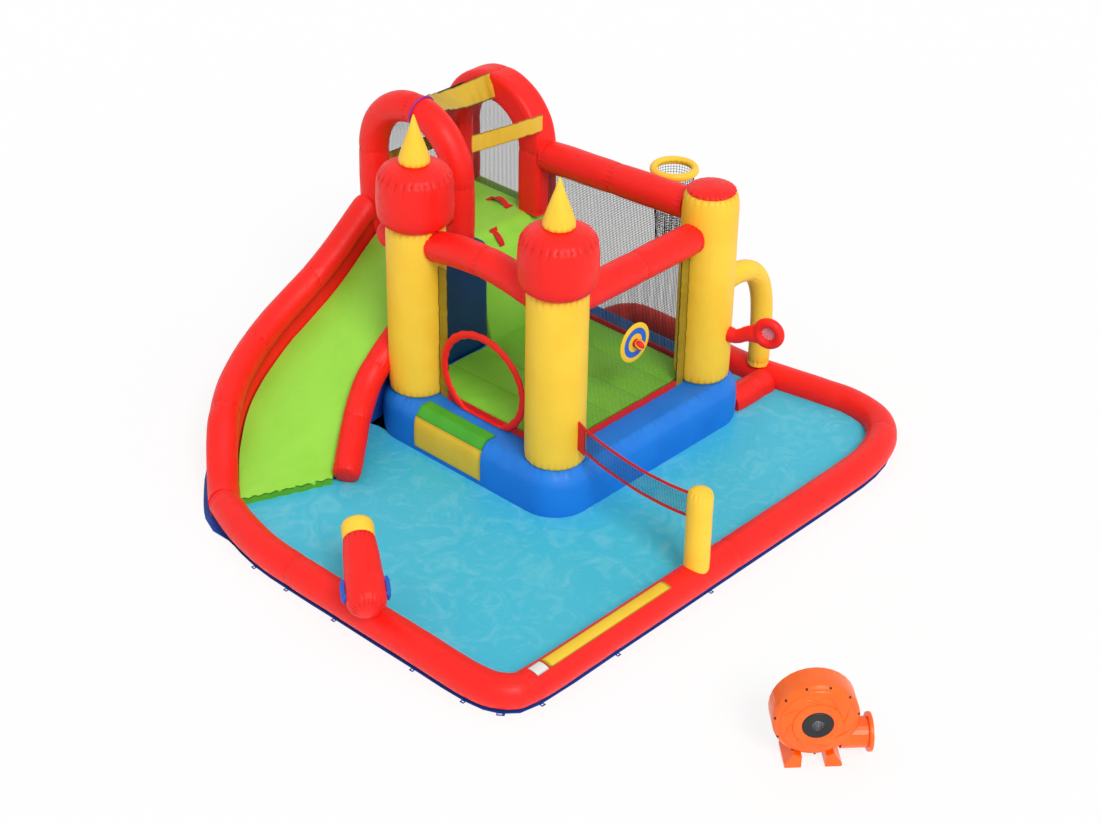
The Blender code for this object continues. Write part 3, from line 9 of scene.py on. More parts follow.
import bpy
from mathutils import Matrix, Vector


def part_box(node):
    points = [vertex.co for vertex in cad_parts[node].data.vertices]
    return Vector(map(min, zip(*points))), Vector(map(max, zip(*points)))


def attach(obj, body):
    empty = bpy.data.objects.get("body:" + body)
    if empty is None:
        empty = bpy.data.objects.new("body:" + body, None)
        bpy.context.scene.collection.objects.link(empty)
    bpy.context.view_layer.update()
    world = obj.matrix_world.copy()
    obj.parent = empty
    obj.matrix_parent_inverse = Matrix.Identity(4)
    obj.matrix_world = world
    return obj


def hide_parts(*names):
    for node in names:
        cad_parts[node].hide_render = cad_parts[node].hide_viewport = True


bl_info = {
    "name": "Inflatable water slide",
    "version": (1, 0, 0),
    "blender": (4, 5, 0),
    "location": "View3D > Sidebar > Slide",
    "description": "Builds the looks of an inflatable water slide round its packed model",
    "category": "Object",
}

from math import cos, exp, hypot, pi, radians, sin, sqrt

import bmesh
import bpy
from mathutils import Matrix, Vector, noise

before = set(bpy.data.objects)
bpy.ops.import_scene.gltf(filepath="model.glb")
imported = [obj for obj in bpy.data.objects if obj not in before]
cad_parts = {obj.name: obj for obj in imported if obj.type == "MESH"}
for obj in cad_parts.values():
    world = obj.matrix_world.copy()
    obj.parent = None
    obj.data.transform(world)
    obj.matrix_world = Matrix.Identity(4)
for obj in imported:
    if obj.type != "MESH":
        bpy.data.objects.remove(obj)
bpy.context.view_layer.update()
ROOT = "castle_slide_and_blower"

tower_low, tower_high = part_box("front_tower")
ORIGIN = Vector(((tower_low.x + tower_high.x) / 2, (tower_low.y + tower_high.y) / 2, 0.0))


def spot(x, y, z=0.0):
    """A point written from the front tower's axis, in the frame."""
    return ORIGIN + Vector((x, y, z))


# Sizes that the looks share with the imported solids
GAP = 0.0003
SEAT = 0.0043
BASE_TOP = 0.385
BASE_MARGIN = 0.215
CASTLE_FLOOR = BASE_TOP + GAP
CASTLE_WIDTH = 1.41
CASTLE_DEPTH = 1.21
TOWER_RADIUS = 0.19
COLUMN_RADIUS = 0.182
POOL_RADIUS = 0.10
POOL_CENTRE = 0.0983
POOL_LEFT = 1.66
POOL_FRONT = 1.195
POOL_RIGHT = 2.17
POOL_CORNER = 2.05
PIT_DEPTH = 1.20
PIT_CORNER = 0.18
PLATFORM = 1.05
SLIDE_AXIS = 1.80
SLIDE_TOP = 0.67
SLIDE_REACH = 2.09
SLIDE_SWING = 0.70
BED_HALF = 0.30
BED_THICK = 0.05
WALL_WIDTH = 0.20
WALL_RISE = 0.25
RAIL_RADIUS = 0.09
TOWER_HEIGHT = 1.175
COLUMN_HEIGHT = 1.325
CAP_HEIGHT = 0.415
BEAM_HEIGHT = 1.435
BEAM_RADIUS = 0.10
BEAM_RISE = 0.075
BACK_BEAM_RADIUS = 0.105
ARCH_TUBE = 0.10
SLIDE_ARCH_X = 0.57
SLIDE_ARCH_RADIUS = 0.40
SLIDE_SPRINGING = 1.56
SLIDE_ARCH_FOOT = 1.18
CLIMB_ARCH_X = 1.41
CLIMB_AXIS = 1.86
CLIMB_RADIUS = 0.36
CLIMB_SPRINGING = 1.50
HOSE_RADIUS = 0.006
HOSE_LOOP = 0.1085
POST_X = -0.05
POST_RADIUS = 0.078
CANNON_PLACE = (-1.66, -0.06)
BARREL_RADIUS = 0.118
BLOWER_PLACE = (-0.75, -2.59)
BLOWER_TURN = -43.0
FAN_HEIGHT = 0.30
DUCT_HEIGHT = 0.15
SCREW_CIRCLE = 0.2245
FLAP_WIDTH = 0.08
DOOR_Y = 0.61
DOOR_Z = CASTLE_FLOOR + 0.275
DOOR_HALF_WIDTH = 0.335
DOOR_HALF_HEIGHT = 0.305
SIDE_NET_X = 0.6706
SIDE_NET_Y = 2.198
SIDE_NET_WIDTH = 0.639
SIDE_NET_TOP = 1.365


# Shapes


def curve_through(points, steps):
    """A smooth curve through the points, with so many steps a span."""
    points = [Vector(p) for p in points]
    ends = [2 * points[0] - points[1], *points, 2 * points[-1] - points[-2]]
    line = []
    for a, b, c, d in zip(ends, ends[1:], ends[2:], ends[3:]):
        for i in range(steps):
            t = i / steps
            line.append(
                (2 * b + (c - a) * t + (2 * a - 5 * b + 4 * c - d) * t**2
                 + (3 * b - a - 3 * c + d) * t**3) / 2
            )
    line.append(points[-1])
    return line


def turns(count):
    """The angles of a full turn in so many even steps."""
    return [2 * pi * k / count for k in range(count)]


def headings(line):
    middle = [c - a for a, c in zip(line, line[2:])]
    return [v.normalized() for v in [line[1] - line[0], *middle, line[-1] - line[-2]]]


def beside(line, offset):
    """The line moved sideways in plan, to the left of its travel."""
    moved = []
    for point, heading in zip(line, headings(line)):
        moved.append(point + Vector((-heading.y, heading.x, 0)).normalized() * offset)
    return moved


def reaches(line):
    """Distance along the line at each of its points."""
    total = [0.0]
    for a, b in zip(line, line[1:]):
        total.append(total[-1] + (b - a).length)
    return total


def at_reach(line, total, reach):
    """Point of the line at a distance along it."""
    reach = min(max(reach, 0.0), total[-1])
    low, high = 0, len(total) - 1
    while high - low > 1:
        middle = (low + high) // 2
        if total[middle] <= reach:
            low = middle
        else:
            high = middle
    span = total[high] - total[low] or 1.0
    return line[low].lerp(line[high], (reach - total[low]) / span)


def stations(length, seams, step):
    """Distances for rings: evenly spaced, with more of them round each seam."""
    found = {0.0, length}
    count = max(2, int(length / step))
    found.update(length * i / count for i in range(count + 1))
    for seam in seams:
        for away in (-0.045, -0.026, -0.013, -0.005, 0.0, 0.005, 0.013, 0.026, 0.045):
            if 0.0 < seam + away < length:
                found.add(seam + away)
    kept = []
    for value in sorted(found):
        if not kept or value - kept[-1] > 0.002:
            kept.append(value)
    return kept


def body_mesh(name, rings, seam=None, wrap=False):
    """A closed skin over rings of points that each hold the same count."""
    verts = [tuple(p) for ring in rings for p in ring]
    count = len(rings[0])
    faces = []
    spans = list(range(len(rings) - 1))
    for i in spans + ([len(rings) - 1] if wrap else []):
        for k in range(count):
            n = (k + 1) % count
            j = (i + 1) % len(rings)
            faces.append((i * count + k, i * count + n, j * count + n, j * count + k))
    values = list(seam) if seam else [0.0] * len(verts)
    if not wrap:
        for i in (0, len(rings) - 1):
            middle = sum((Vector(p) for p in rings[i]), Vector()) / count
            verts.append(tuple(middle))
            values.append(0.0)
            for k in range(count):
                faces.append((i * count + k, i * count + (k + 1) % count, len(verts) - 1))
    mesh = bpy.data.meshes.new(name)
    mesh.from_pydata(verts, [], faces)
    # the seam attribute holds the sewn lines and the painted shade of the pucker creases
    mark = mesh.attributes.new("seam", "FLOAT", "POINT")
    mark.data.foreach_set("value", values)
    return outward(placed(name, mesh))


def placed(name, data):
    """A new object of the scene that holds the data."""
    made = bpy.data.objects.new(name, data)
    bpy.context.scene.collection.objects.link(made)
    return made


def only(made):
    """Select one object alone and make it active."""
    bpy.ops.object.select_all(action="DESELECT")
    made.select_set(True)
    bpy.context.view_layer.objects.active = made
    return made


def outward(made):
    """Merge doubles and turn every face outwards, as Merge by Distance and Recalculate do."""
    only(made)
    bpy.ops.object.mode_set(mode="EDIT")
    bpy.ops.mesh.select_all(action="SELECT")
    bpy.ops.mesh.remove_doubles(threshold=0.00005)
    bpy.ops.mesh.normals_make_consistent(inside=False)
    bpy.ops.object.mode_set(mode="OBJECT")
    return made


def smooth(made, degrees=50.0):
    only(made)
    bpy.ops.object.shade_smooth_by_angle(angle=radians(degrees))


def joined(name, pieces, degrees):
    """Several objects as one, under the name."""
    only(pieces[0])
    for piece in pieces[1:]:
        piece.select_set(True)
    bpy.ops.object.join()
    made = bpy.context.view_layer.objects.active
    made.name = name
    smooth(made, degrees)
    return made


def smooth_skin(name, rings, seam=None, wrap=False):
    """A closed skin over rings, shaded smooth."""
    made = body_mesh(name, rings, seam, wrap)
    smooth(made)
    return made


def pucker(distance, angle, count, depth, reach, phase=0.0):
    """How far sewn cloth is drawn in, so far from its seam."""
    ripple = 0.5 + 0.5 * cos(count * angle + phase + 1.3 * sin(3 * angle + phase))
    return depth * exp(-distance / reach) * (0.25 + 0.75 * ripple ** 4)


def uneven(point, size, amount):
    """Gentle lumps of an air-filled skin, the same on every run."""
    return amount * noise.noise(point / size)


def air_tube(name, line, radius, seams=(), up=(0, 0, 1), floor=None, square=2.0, sides=72,
             step=0.03, ends=(0.0, 0.0), depth=0.006, count=26, swell=0.002):
    """An air-filled tube along a line, drawn in and puckered at each seam."""
    total = reaches(line)
    length = total[-1]
    rings = []
    marks = []
    up = Vector(up)
    for s in stations(length, seams, step):
        here = at_reach(line, total, s)
        ahead = at_reach(line, total, s + 0.01) - at_reach(line, total, s - 0.01)
        ahead.normalize()
        side = ahead.cross(up).normalized()
        top = side.cross(ahead)
        near = min([abs(s - seam) for seam in seams], default=1.0)
        index = min(range(len(seams)), key=lambda k: abs(s - seams[k])) if seams else 0
        size = radius + swell * (1 - exp(-near / 0.03))
        for end, reach in ((ends[0], s), (ends[1], length - s)):
            if end and reach < end:
                size *= sqrt(max(1 - (1 - reach / end) ** 2, 0.0)) * 0.35 + 0.65
        ring = []
        for k in range(sides):
            angle = 2 * pi * (k + 0.5) / sides
            x, y = cos(angle), sin(angle)
            stretch = (abs(x) ** square + abs(y) ** square) ** (-1 / square)
            out = side * x + top * y
            drawn = pucker(near, angle, count, depth, 0.022, index * 2.1)
            point = here + out * (size * stretch - drawn)
            point = point + out * uneven(point, 0.16, 0.0022)
            if floor is not None:
                point.z = max(point.z, floor)
            ring.append(spot(*point))
            # painted shade in the pucker creases at each seam, darker where the cloth is drawn in
            # further
            marks.append(0.4 * (drawn / depth) ** 2 if seams else 0.0)
        rings.append(ring)
    return smooth_skin(name, rings, marks)


def turned_skin(name, profile, centre, seams=(), count=24, depth=0.006, reach=0.022, steps=128,
                step=0.012, turn=None, lumps=0.0015):
    """An air-filled round body: a (radius, height) profile spun about its axis and puckered."""
    fine = []
    for (r0, z0), (r1, z1) in zip(profile, profile[1:]):
        parts = max(1, int(hypot(r1 - r0, z1 - z0) / step))
        fine += [(r0 + (r1 - r0) * i / parts, z0 + (z1 - z0) * i / parts) for i in range(parts)]
    fine.append(profile[-1])
    travel = [0.0]
    for (r0, z0), (r1, z1) in zip(fine, fine[1:]):
        travel.append(travel[-1] + hypot(r1 - r0, z1 - z0))
    seam_travel = []
    for seam in seams:
        seam_travel.append(min(range(len(fine)), key=lambda i: hypot(fine[i][0] - seam[0],
                                                                     fine[i][1] - seam[1])))
    rings = []
    marks = []
    for i, (radius, height) in enumerate(fine):
        near = min([abs(travel[i] - travel[j]) for j in seam_travel], default=1.0)
        ring = []
        for angle in turns(steps):
            size = max(radius, 0.0004)
            drawn = pucker(near, angle, count, depth, reach)
            size = max(size - drawn * min(1.0, radius / 0.05), 0.0004)
            point = Vector((size * cos(angle), size * sin(angle), height))
            lump = uneven(point + Vector(centre), 0.12, lumps) * min(1.0, radius / 0.05)
            point.x += cos(angle) * lump
            point.y += sin(angle) * lump
            if turn is not None:
                point = turn @ point
            ring.append(spot(*(Vector(centre) + point)))
            # painted shade in the pucker creases at each seam, darker where the cloth is drawn in
            # further
            marks.append(0.6 * (drawn / depth) ** 1.4 if seams else 0.0)
        rings.append(ring)
    return smooth_skin(name, rings, marks)


def rounded_plan(low, high, radius, step):
    """Plan of a rectangle with round corners, anticlockwise, evenly stepped."""
    corners = (
        (high[0] - radius, high[1] - radius, 0.0),
        (low[0] + radius, high[1] - radius, pi / 2),
        (low[0] + radius, low[1] + radius, pi),
        (high[0] - radius, low[1] + radius, 3 * pi / 2),
    )
    rough = []
    for x, y, start in corners:
        for i in range(13):
            angle = start + pi / 24 * i
            rough.append(Vector((x + radius * cos(angle), y + radius * sin(angle), 0)))
    rough.append(rough[0])
    total = reaches(rough)
    count = int(total[-1] / step)
    return [at_reach(rough, total, total[-1] * i / count) for i in range(count)]


def copied_node(name, node):
    """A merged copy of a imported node's mesh, ready for modifiers."""
    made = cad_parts[node].copy()
    made.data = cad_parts[node].data.copy()
    made.name = name
    made.parent = None
    for key in list(made.keys()):
        del made[key]
    made.data.materials.clear()
    bpy.context.scene.collection.objects.link(made)
    return outward(made)


def puffed_copy(name, node, voxel, rounds, lump=0.0025):
    """A copy of a node, remeshed and relaxed so that its edges round over like filled cloth."""
    made = copied_node(name, node)
    only(made)
    remesh = made.modifiers.new("even_faces", "REMESH")
    remesh.mode = "VOXEL"
    remesh.voxel_size = voxel
    bpy.ops.object.modifier_apply(modifier=remesh.name)
    relax = made.modifiers.new("relax", "SMOOTH")
    relax.factor = 0.6
    relax.iterations = rounds
    bpy.ops.object.modifier_apply(modifier=relax.name)
    made.data.attributes.new("seam", "FLOAT", "POINT")
    normals = [v.normal.copy() for v in made.data.vertices]
    for vertex, normal in zip(made.data.vertices, normals):
        vertex.co += normal * uneven(vertex.co, 0.13, lump)
    smooth(made, 80.0)
    return made


def thick_curve(name, radius, resolution):
    """A curve in space whose lines get a round section."""
    path = bpy.data.curves.new(name, "CURVE")
    path.dimensions = "3D"
    path.bevel_depth = radius
    path.bevel_resolution = resolution
    return path


def curve_mesh(name, path):
    """A curve's thick lines as a mesh object."""
    only(placed(name, path))
    bpy.ops.object.convert(target="MESH")
    return bpy.context.view_layer.objects.active


def strand_grid(name, bars, thickness):
    """Net strands as thin square bars: a list of (start, end) pairs made one mesh."""
    path = thick_curve(name, thickness / 2, 0)
    path.use_fill_caps = True
    for start, end in bars:
        line = path.splines.new("POLY")
        line.points.add(1)
        line.points[0].co = (*start, 1.0)
        line.points[1].co = (*end, 1.0)
    return outward(curve_mesh(name, path))


def fine_net(name, origin, along, width, low, high, pitch, thickness, hole=None):
    """A flat net of crossing strands between two height lines, open where hole says."""
    along = Vector(along).normalized()
    origin = Vector(origin)
    bars = []

    def clear(u, z0, z1):
        if hole is None:
            return [(z0, z1)]
        gaps = hole(u)
        if gaps is None:
            return [(z0, z1)]
        return [(a, b) for a, b in ((z0, gaps[0]), (gaps[1], z1)) if b - a > thickness]

    columns = max(1, int(width / pitch))
    for i in range(columns + 1):
        u = width * i / columns
        for z0, z1 in clear(u, low(u), high(u)):
            place = origin + along * u
            bars.append((spot(place.x, place.y, z0), spot(place.x, place.y, z1)))
    samples = 160
    lift = along.cross(Vector((0, 0, 1))) * thickness * 0.6
    lowest = min(low(width * i / samples) for i in range(samples + 1))
    highest = max(high(width * i / samples) for i in range(samples + 1))
    rows = max(1, int((highest - lowest) / pitch))
    if abs(low(0) - low(width)) + abs(high(0) - high(width / 2)) < 0.15 and hole is None:
        for j in range(rows + 1):
            share = j / rows
            last = None
            for i in range(0, samples + 1, 8):
                u = width * i / samples
                place = origin + along * u + lift
                here = spot(place.x, place.y, low(u) + (high(u) - low(u)) * share)
                if last is not None:
                    bars.append((last, here))
                last = here
    else:
        for j in range(rows + 1):
            z = lowest + (highest - lowest) * j / rows
            start = None
            for i in range(samples + 1):
                u = width * i / samples
                gaps = hole(u) if hole else None
                inside = low(u) - 0.001 <= z <= high(u) + 0.001
                inside = inside and not (gaps and gaps[0] < z < gaps[1])
                place = origin + along * u + lift
                if inside and start is None:
                    start = spot(place.x, place.y, z)
                if start is not None and (not inside or i == samples):
                    bars.append((start, spot(place.x, place.y, z)))
                    start = None
    return strand_grid(name, bars, thickness)


def ribbon(name, line, across, thickness, wave=0.0, parts=4):
    """A sewn strip of cloth: a line of points, each with the direction of its width."""
    rings = []
    marks = []
    for i, (point, width) in enumerate(zip(line, across)):
        point, width = Vector(point), Vector(width)
        ahead = Vector(line[min(i + 1, len(line) - 1)]) - Vector(line[max(i - 1, 0)])
        face = ahead.cross(width).normalized()
        ring = []
        for side in (1, -1):
            for k in range(parts + 1):
                share = (k / parts - 0.5) * side
                lump = wave * noise.noise(point * 23 + width * share)
                lift = face * (thickness / 2 * side + lump)
                ring.append(spot(*(point + width * share + lift)))
                marks.append(1.0 if k in (0, parts) else 0.0)
        rings.append(ring)
    return smooth_skin(name, rings, marks)


def dress(made, material, body, slot, *nodes):
    """Give a finished piece its material and its body, and hide the nodes it stands for; the slot
    is not used.
    """
    made.data.materials.clear()
    made.data.materials.append(material)
    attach(made, body)
    if nodes:
        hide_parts(*nodes)
    return made


# Materials


def linear(hex_code):
    """An sRGB hex colour as linear RGBA."""
    parts = [int(hex_code[i : i + 2], 16) / 255 for i in (0, 2, 4)]
    return (*[c / 12.92 if c <= 0.04045 else ((c + 0.055) / 1.055) ** 2.4 for c in parts], 1.0)


def add_node(tree, kind, settings=None, links=None):
    """Add one node with its settings, socket values and links."""
    node = tree.nodes.new(kind)
    for key, value in (settings or {}).items():
        if isinstance(key, int) or key in node.inputs:
            node.inputs[key].default_value = value
        else:
            setattr(node, key, value)
    for key, source in (links or {}).items():
        tree.links.new(source, node.inputs[key])
    return node


def new_material(name):
    """A material of this file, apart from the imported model's plain ones of like names."""
    made = bpy.data.materials.get(f"{name}_finish")
    if made:
        return made, None, None
    made = bpy.data.materials.new(f"{name}_finish")
    made.use_nodes = True
    tree = made.node_tree
    return made, tree, tree.nodes["Principled BSDF"]


def seen_of(tree):
    """Light Path's answer: 1 for camera, glossy and transmission rays, 0 for others."""
    rays = add_node(tree, "ShaderNodeLightPath")
    first = add_node(tree, "ShaderNodeMath", {"operation": "MAXIMUM"},
                     {0: rays.outputs["Is Camera Ray"], 1: rays.outputs["Is Glossy Ray"]})
    both = add_node(tree, "ShaderNodeMath", {"operation": "MAXIMUM"},
                    {0: first.outputs["Value"], 1: rays.outputs["Is Transmission Ray"]})
    return both.outputs["Value"]


def shaded_mix(tree, factor, low, high):
    """Colour that goes from one hex colour to another with a factor."""
    return add_node(tree, "ShaderNodeMix", {"data_type": "RGBA", 6: linear(low), 7: linear(high)},
                    {0: factor})


def object_place(tree):
    """Texture coordinates that stay with the object, in metres."""
    return add_node(tree, "ShaderNodeTexCoord").outputs["Object"]


def cloudy(tree, place, **settings):
    """Factor of a noise texture at the place."""
    return add_node(tree, "ShaderNodeTexNoise", settings, {"Vector": place}).outputs["Fac"]


def striped(tree, place, direction, **settings):
    """Factor of a wave texture at the place, with its bands in one direction."""
    settings["bands_direction"] = direction
    return add_node(tree, "ShaderNodeTexWave", settings, {"Vector": place}).outputs["Fac"]


def mapped(tree, value, low, high, to_low, to_high):
    """A value carried from one range into another."""
    made = add_node(tree, "ShaderNodeMapRange",
                    {"From Min": low, "From Max": high, "To Min": to_low, "To Max": to_high},
                    {"Value": value})
    return made.outputs["Result"]


def bumped(tree, height, strength, distance, below=None):
    """A normal raised by a height, over another normal where one is given."""
    links = {"Height": height}
    if below is not None:
        links["Normal"] = below
    made = add_node(tree, "ShaderNodeBump", {"Strength": strength, "Distance": distance}, links)
    return made.outputs["Normal"]


def wire(tree, shader, colour, normal=None, roughness=None):
    """Link what varies over a piece to its shader."""
    for key, source in (("Base Color", colour), ("Normal", normal), ("Roughness", roughness)):
        if source is not None:
            tree.links.new(source, shader.inputs[key])


def coated_cloth(name, main_hex, deep_hex, seam_and_crease_shade_hex):
    """Woven polyester with a vinyl coat: plain satin colour with painted shade in blotches, soft
    creases, sewn lines, and painted shade in the pucker creases beside them.
    """
    made, tree, shader = new_material(name)
    if tree is None:
        return made
    place = object_place(tree)
    # painted shade in blotches: over about 300 mm the tone drifts towards the deeper colour, which
    # is the cloth's shaded one
    shade_blotches = cloudy(tree, place, Scale=3.3, Detail=3.0, Roughness=0.55)
    body = shaded_mix(tree, mapped(tree, shade_blotches, 0.42, 0.78, 0.0, 0.45), main_hex, deep_hex)
    # the seam attribute marks the sewn lines and paints shade into the pucker creases, darker
    # where the cloth is drawn in further
    line = add_node(tree, "ShaderNodeAttribute", {"attribute_name": "seam"})
    sewn = shaded_mix(tree, line.outputs["Fac"], main_hex, seam_and_crease_shade_hex)
    tree.links.new(body.outputs[2], sewn.inputs[6])
    # creases of 20 to 60 mm, and the 1.5 mm weave drawn at 4 mm so that it shows
    creases = cloudy(tree, place, Scale=16.0, Detail=4.0, Roughness=0.5, Distortion=1.4)
    folds = bumped(tree, creases, 0.16, 0.012)
    weave = add_node(tree, "ShaderNodeMath", {"operation": "MULTIPLY"},
                     {0: striped(tree, place, "X", Scale=78.0),
                      1: striped(tree, place, "Z", Scale=78.0)})
    threads = bumped(tree, weave.outputs["Value"], 0.05, 0.001, folds)
    satin = 0.44
    rough = mapped(tree, creases, 0.3, 0.7, satin - 0.05, satin + 0.1)
    wire(tree, shader, sewn.outputs[2], threads, rough)
    shader.inputs["Specular IOR Level"].default_value = 0.32
    return made


def knitted_mesh(name, hex_code):
    """Knotless polyester net: thin matte threads."""
    made, tree, shader = new_material(name)
    if tree is None:
        return made
    fuzz = cloudy(tree, object_place(tree), Scale=220.0, Detail=2.0)
    body = shaded_mix(tree, fuzz, hex_code, "24262A")
    wire(tree, shader, body.outputs[2], bumped(tree, fuzz, 0.2, 0.0006))
    shader.inputs["Roughness"].default_value = 0.75
    return made


def woven_webbing(name, hex_code, deep_hex):
    """Flat polyester webbing: fine slanting ribs, 3 to 5 mm apart."""
    made, tree, shader = new_material(name)
    if tree is None:
        return made
    ribs = striped(tree, object_place(tree), "DIAGONAL", Scale=120.0, Distortion=0.3)
    body = shaded_mix(tree, ribs, deep_hex, hex_code)
    wire(tree, shader, body.outputs[2], bumped(tree, ribs, 0.3, 0.0008))
    shader.inputs["Roughness"].default_value = 0.7
    return made


def moulded_plastic(name, main_hex, deep_hex, gloss):
    """Injection-moulded ABS: even colour, fine spark-eroded grain, soft gloss."""
    made, tree, shader = new_material(name)
    if tree is None:
        return made
    place = object_place(tree)
    cloud = cloudy(tree, place, Scale=7.0, Detail=2.0)
    body = shaded_mix(tree, mapped(tree, cloud, 0.4, 0.8, 0.0, 0.35), main_hex, deep_hex)
    grain = cloudy(tree, place, Scale=900.0, Detail=2.0)
    rough = mapped(tree, cloud, 0.3, 0.7, gloss - 0.04, gloss + 0.06)
    wire(tree, shader, body.outputs[2], bumped(tree, grain, 0.08, 0.0004), rough)
    return made


def zinc_plated_steel(name):
    """Turned steel rod with a zinc coat: grey, faint turning marks."""
    made, tree, shader = new_material(name)
    if tree is None:
        return made
    marks = cloudy(tree, object_place(tree), Scale=400.0, Detail=3.0)
    wire(tree, shader, shaded_mix(tree, marks, "8E9196", "A9ACB1").outputs[2])
    shader.inputs["Metallic"].default_value = 1.0
    shader.inputs["Roughness"].default_value = 0.34
    return made


def brushed_pile(tree, shader, place, colour):
    """The short matte pile of hook-and-loop cloth, in a colour."""
    pile = cloudy(tree, place, Scale=300.0, Detail=3.0)
    wire(tree, shader, colour, bumped(tree, pile, 0.35, 0.001))
    shader.inputs["Roughness"].default_value = 0.75


def ringed_target(name, centre, axis, radii, hexes):
    """Brushed hook-and-loop cloth, dyed in rings of the given radii."""
    made, tree, shader = new_material(name)
    if tree is None:
        return made
    place = object_place(tree)
    shift = add_node(tree, "ShaderNodeMapping", {"Location": -centre}, {"Vector": place})
    flat = add_node(tree, "ShaderNodeVectorMath",
                    {"operation": "MULTIPLY", 1: tuple(0.0 if a else 1.0 for a in axis)},
                    {0: shift.outputs["Vector"]})
    away = add_node(tree, "ShaderNodeVectorMath", {"operation": "LENGTH"},
                    {0: flat.outputs["Vector"]})
    share = add_node(tree, "ShaderNodeMath", {"operation": "DIVIDE", 1: radii[-1]},
                     {0: away.outputs["Value"]})
    ramp = add_node(tree, "ShaderNodeValToRGB", None, {"Fac": share.outputs["Value"]})
    ramp.color_ramp.interpolation = "CONSTANT"
    ramp.color_ramp.elements[0].color = linear(hexes[0])
    ramp.color_ramp.elements[0].position = 0.0
    ramp.color_ramp.elements[1].color = linear(hexes[1])
    ramp.color_ramp.elements[1].position = radii[0] / radii[-1]
    for radius, hex_code in zip(radii[1:], hexes[2:]):
        ramp.color_ramp.elements.new(radius / radii[-1]).color = linear(hex_code)
    brushed_pile(tree, shader, place, ramp.outputs["Color"])
    return made


def taped_ball(name, centre):
    """Brushed red hook cloth with a yellow tape sewn over it crosswise."""
    made, tree, shader = new_material(name)
    if tree is None:
        return made
    place = object_place(tree)
    turned = add_node(tree, "ShaderNodeMapping",
                      {"vector_type": "TEXTURE", "Location": centre,
                       "Rotation": (radians(35.0), 0.0, radians(20.0))}, {"Vector": place})
    parts = add_node(tree, "ShaderNodeSeparateXYZ", None, {0: turned.outputs["Vector"]})
    half_tape = 0.0055
    tapes = []
    for axis in ("X", "Z"):
        tape = add_node(tree, "ShaderNodeMath", {"operation": "COMPARE", 1: 0.0, 2: half_tape},
                        {0: parts.outputs[axis]})
        tapes.append(tape.outputs["Value"])
    tape = add_node(tree, "ShaderNodeMath", {"operation": "MAXIMUM"}, {0: tapes[0], 1: tapes[1]})
    body = shaded_mix(tree, tape.outputs["Value"], "E8261C", "FFD23E")
    brushed_pile(tree, shader, place, body.outputs[2])
    return made


def pool_water_look(name, main_hex, bright_hex):
    """Shallow clear water over a blue sheet: turquoise, with small soft ripples."""
    made, tree, shader = new_material(name)
    if tree is None:
        return made
    place = object_place(tree)
    cloud = cloudy(tree, place, Scale=5.5, Detail=5.0, Roughness=0.62, Distortion=1.6)
    body = shaded_mix(tree, mapped(tree, cloud, 0.48, 0.74, 0.0, 0.32), main_hex, bright_hex)
    ripples = cloudy(tree, place, Scale=14.0, Detail=4.0, Roughness=0.55, Distortion=1.2)
    wire(tree, shader, body.outputs[2], bumped(tree, ripples, 0.22, 0.02))
    shader.inputs["Roughness"].default_value = 0.2
    shader.inputs["Specular IOR Level"].default_value = 0.3
    shader.inputs["IOR"].default_value = 1.333
    return made


def cloth(key):
    """The coated cloth finishes, by key."""
    look = bpy.context.scene.slide_colours
    # each row: main colour; the deeper, shaded colour that the blotches of painted shade drift to;
    # and the colour of the seam lines and of the painted shade in the pucker creases
    hexes = {
        "red_vinyl": (look.red, "EE120E", "8E0608"),
        "yellow_vinyl": (look.yellow, "FAB81C", "C4881A"),
        "blue_vinyl": (look.blue, "0B62CC", "083F90"),
        "sheet_blue": ("0E4AA6", "0A3884", "072760"),
        "dark_blue_vinyl": (look.dark_blue, "022A54", "021C38"),
        "green_vinyl": (look.green, "80CE32", "4E9A1C"),
        # painted light: a lighter blue than the dark blue, to lift the shade on the slide's lower
        # wall
        "lower_wall_painted_light_blue": ("1257B4", "0C4798", "072C66"),
        "lip_green": ("57A81E", "3F8A14", "2C660C"),
        "floor_green_vinyl": (look.floor_green, "6CC02E", "3F8A1C"),
        "pink_web": ("E58C98", "D87886", "A8505E"),
        "mustard_band": (look.mustard, "8C6C10", "2A2410"),
        "guard_cloth": ("EEC840", "CE9E22", "8A6A12"),
        "flap_cloth": ("A68A1C", "6E580E", "120F06"),
        "patch_yellow": ("F4CB3A", "D9A81E", "8C6A10"),
        "patch_green": ("48AD2D", "2E8A1C", "1E5F12"),
        "bare_white": ("E8E8E6", "CFCFCC", "9A9A98"),
    }
    main, deep, seam = hexes[key]
    return coated_cloth(key, main, deep, seam)


def red_tape_look():
    return woven_webbing("red_webbing", "F02018", "B41210")


def net_look():
    return knitted_mesh("net_mesh", "0E0F11")


def fill(made, key, node, body=ROOT):
    """Finish an air-filled piece in one cloth, that stands for a node."""
    dress(made, cloth(key), body, key, node)


class SlideColours(bpy.types.PropertyGroup):
    """Colours that an owner would pick, as sRGB hex codes."""

    red: bpy.props.StringProperty(name="Red", description="Tubes and walls", default="FB2018")
    yellow: bpy.props.StringProperty(name="Yellow", description="Towers", default="FFD23E")
    blue: bpy.props.StringProperty(name="Blue", description="Base and sheet", default="1C80E4")
    dark_blue: bpy.props.StringProperty(name="Dark blue", description="Lower slide walls",
                                        default="033E78")
    green: bpy.props.StringProperty(name="Green", description="Slide bed", default="9AE24A")
    floor_green: bpy.props.StringProperty(name="Floor green", description="Bounce floor",
                                          default="8AD840")
    mustard: bpy.props.StringProperty(name="Mustard", description="Bands and flaps",
                                      default="D2AC2A")
    orange: bpy.props.StringProperty(name="Orange", description="Blower", default="FF6A04")
    water: bpy.props.StringProperty(name="Water", description="Pool water", default="47C2DE")


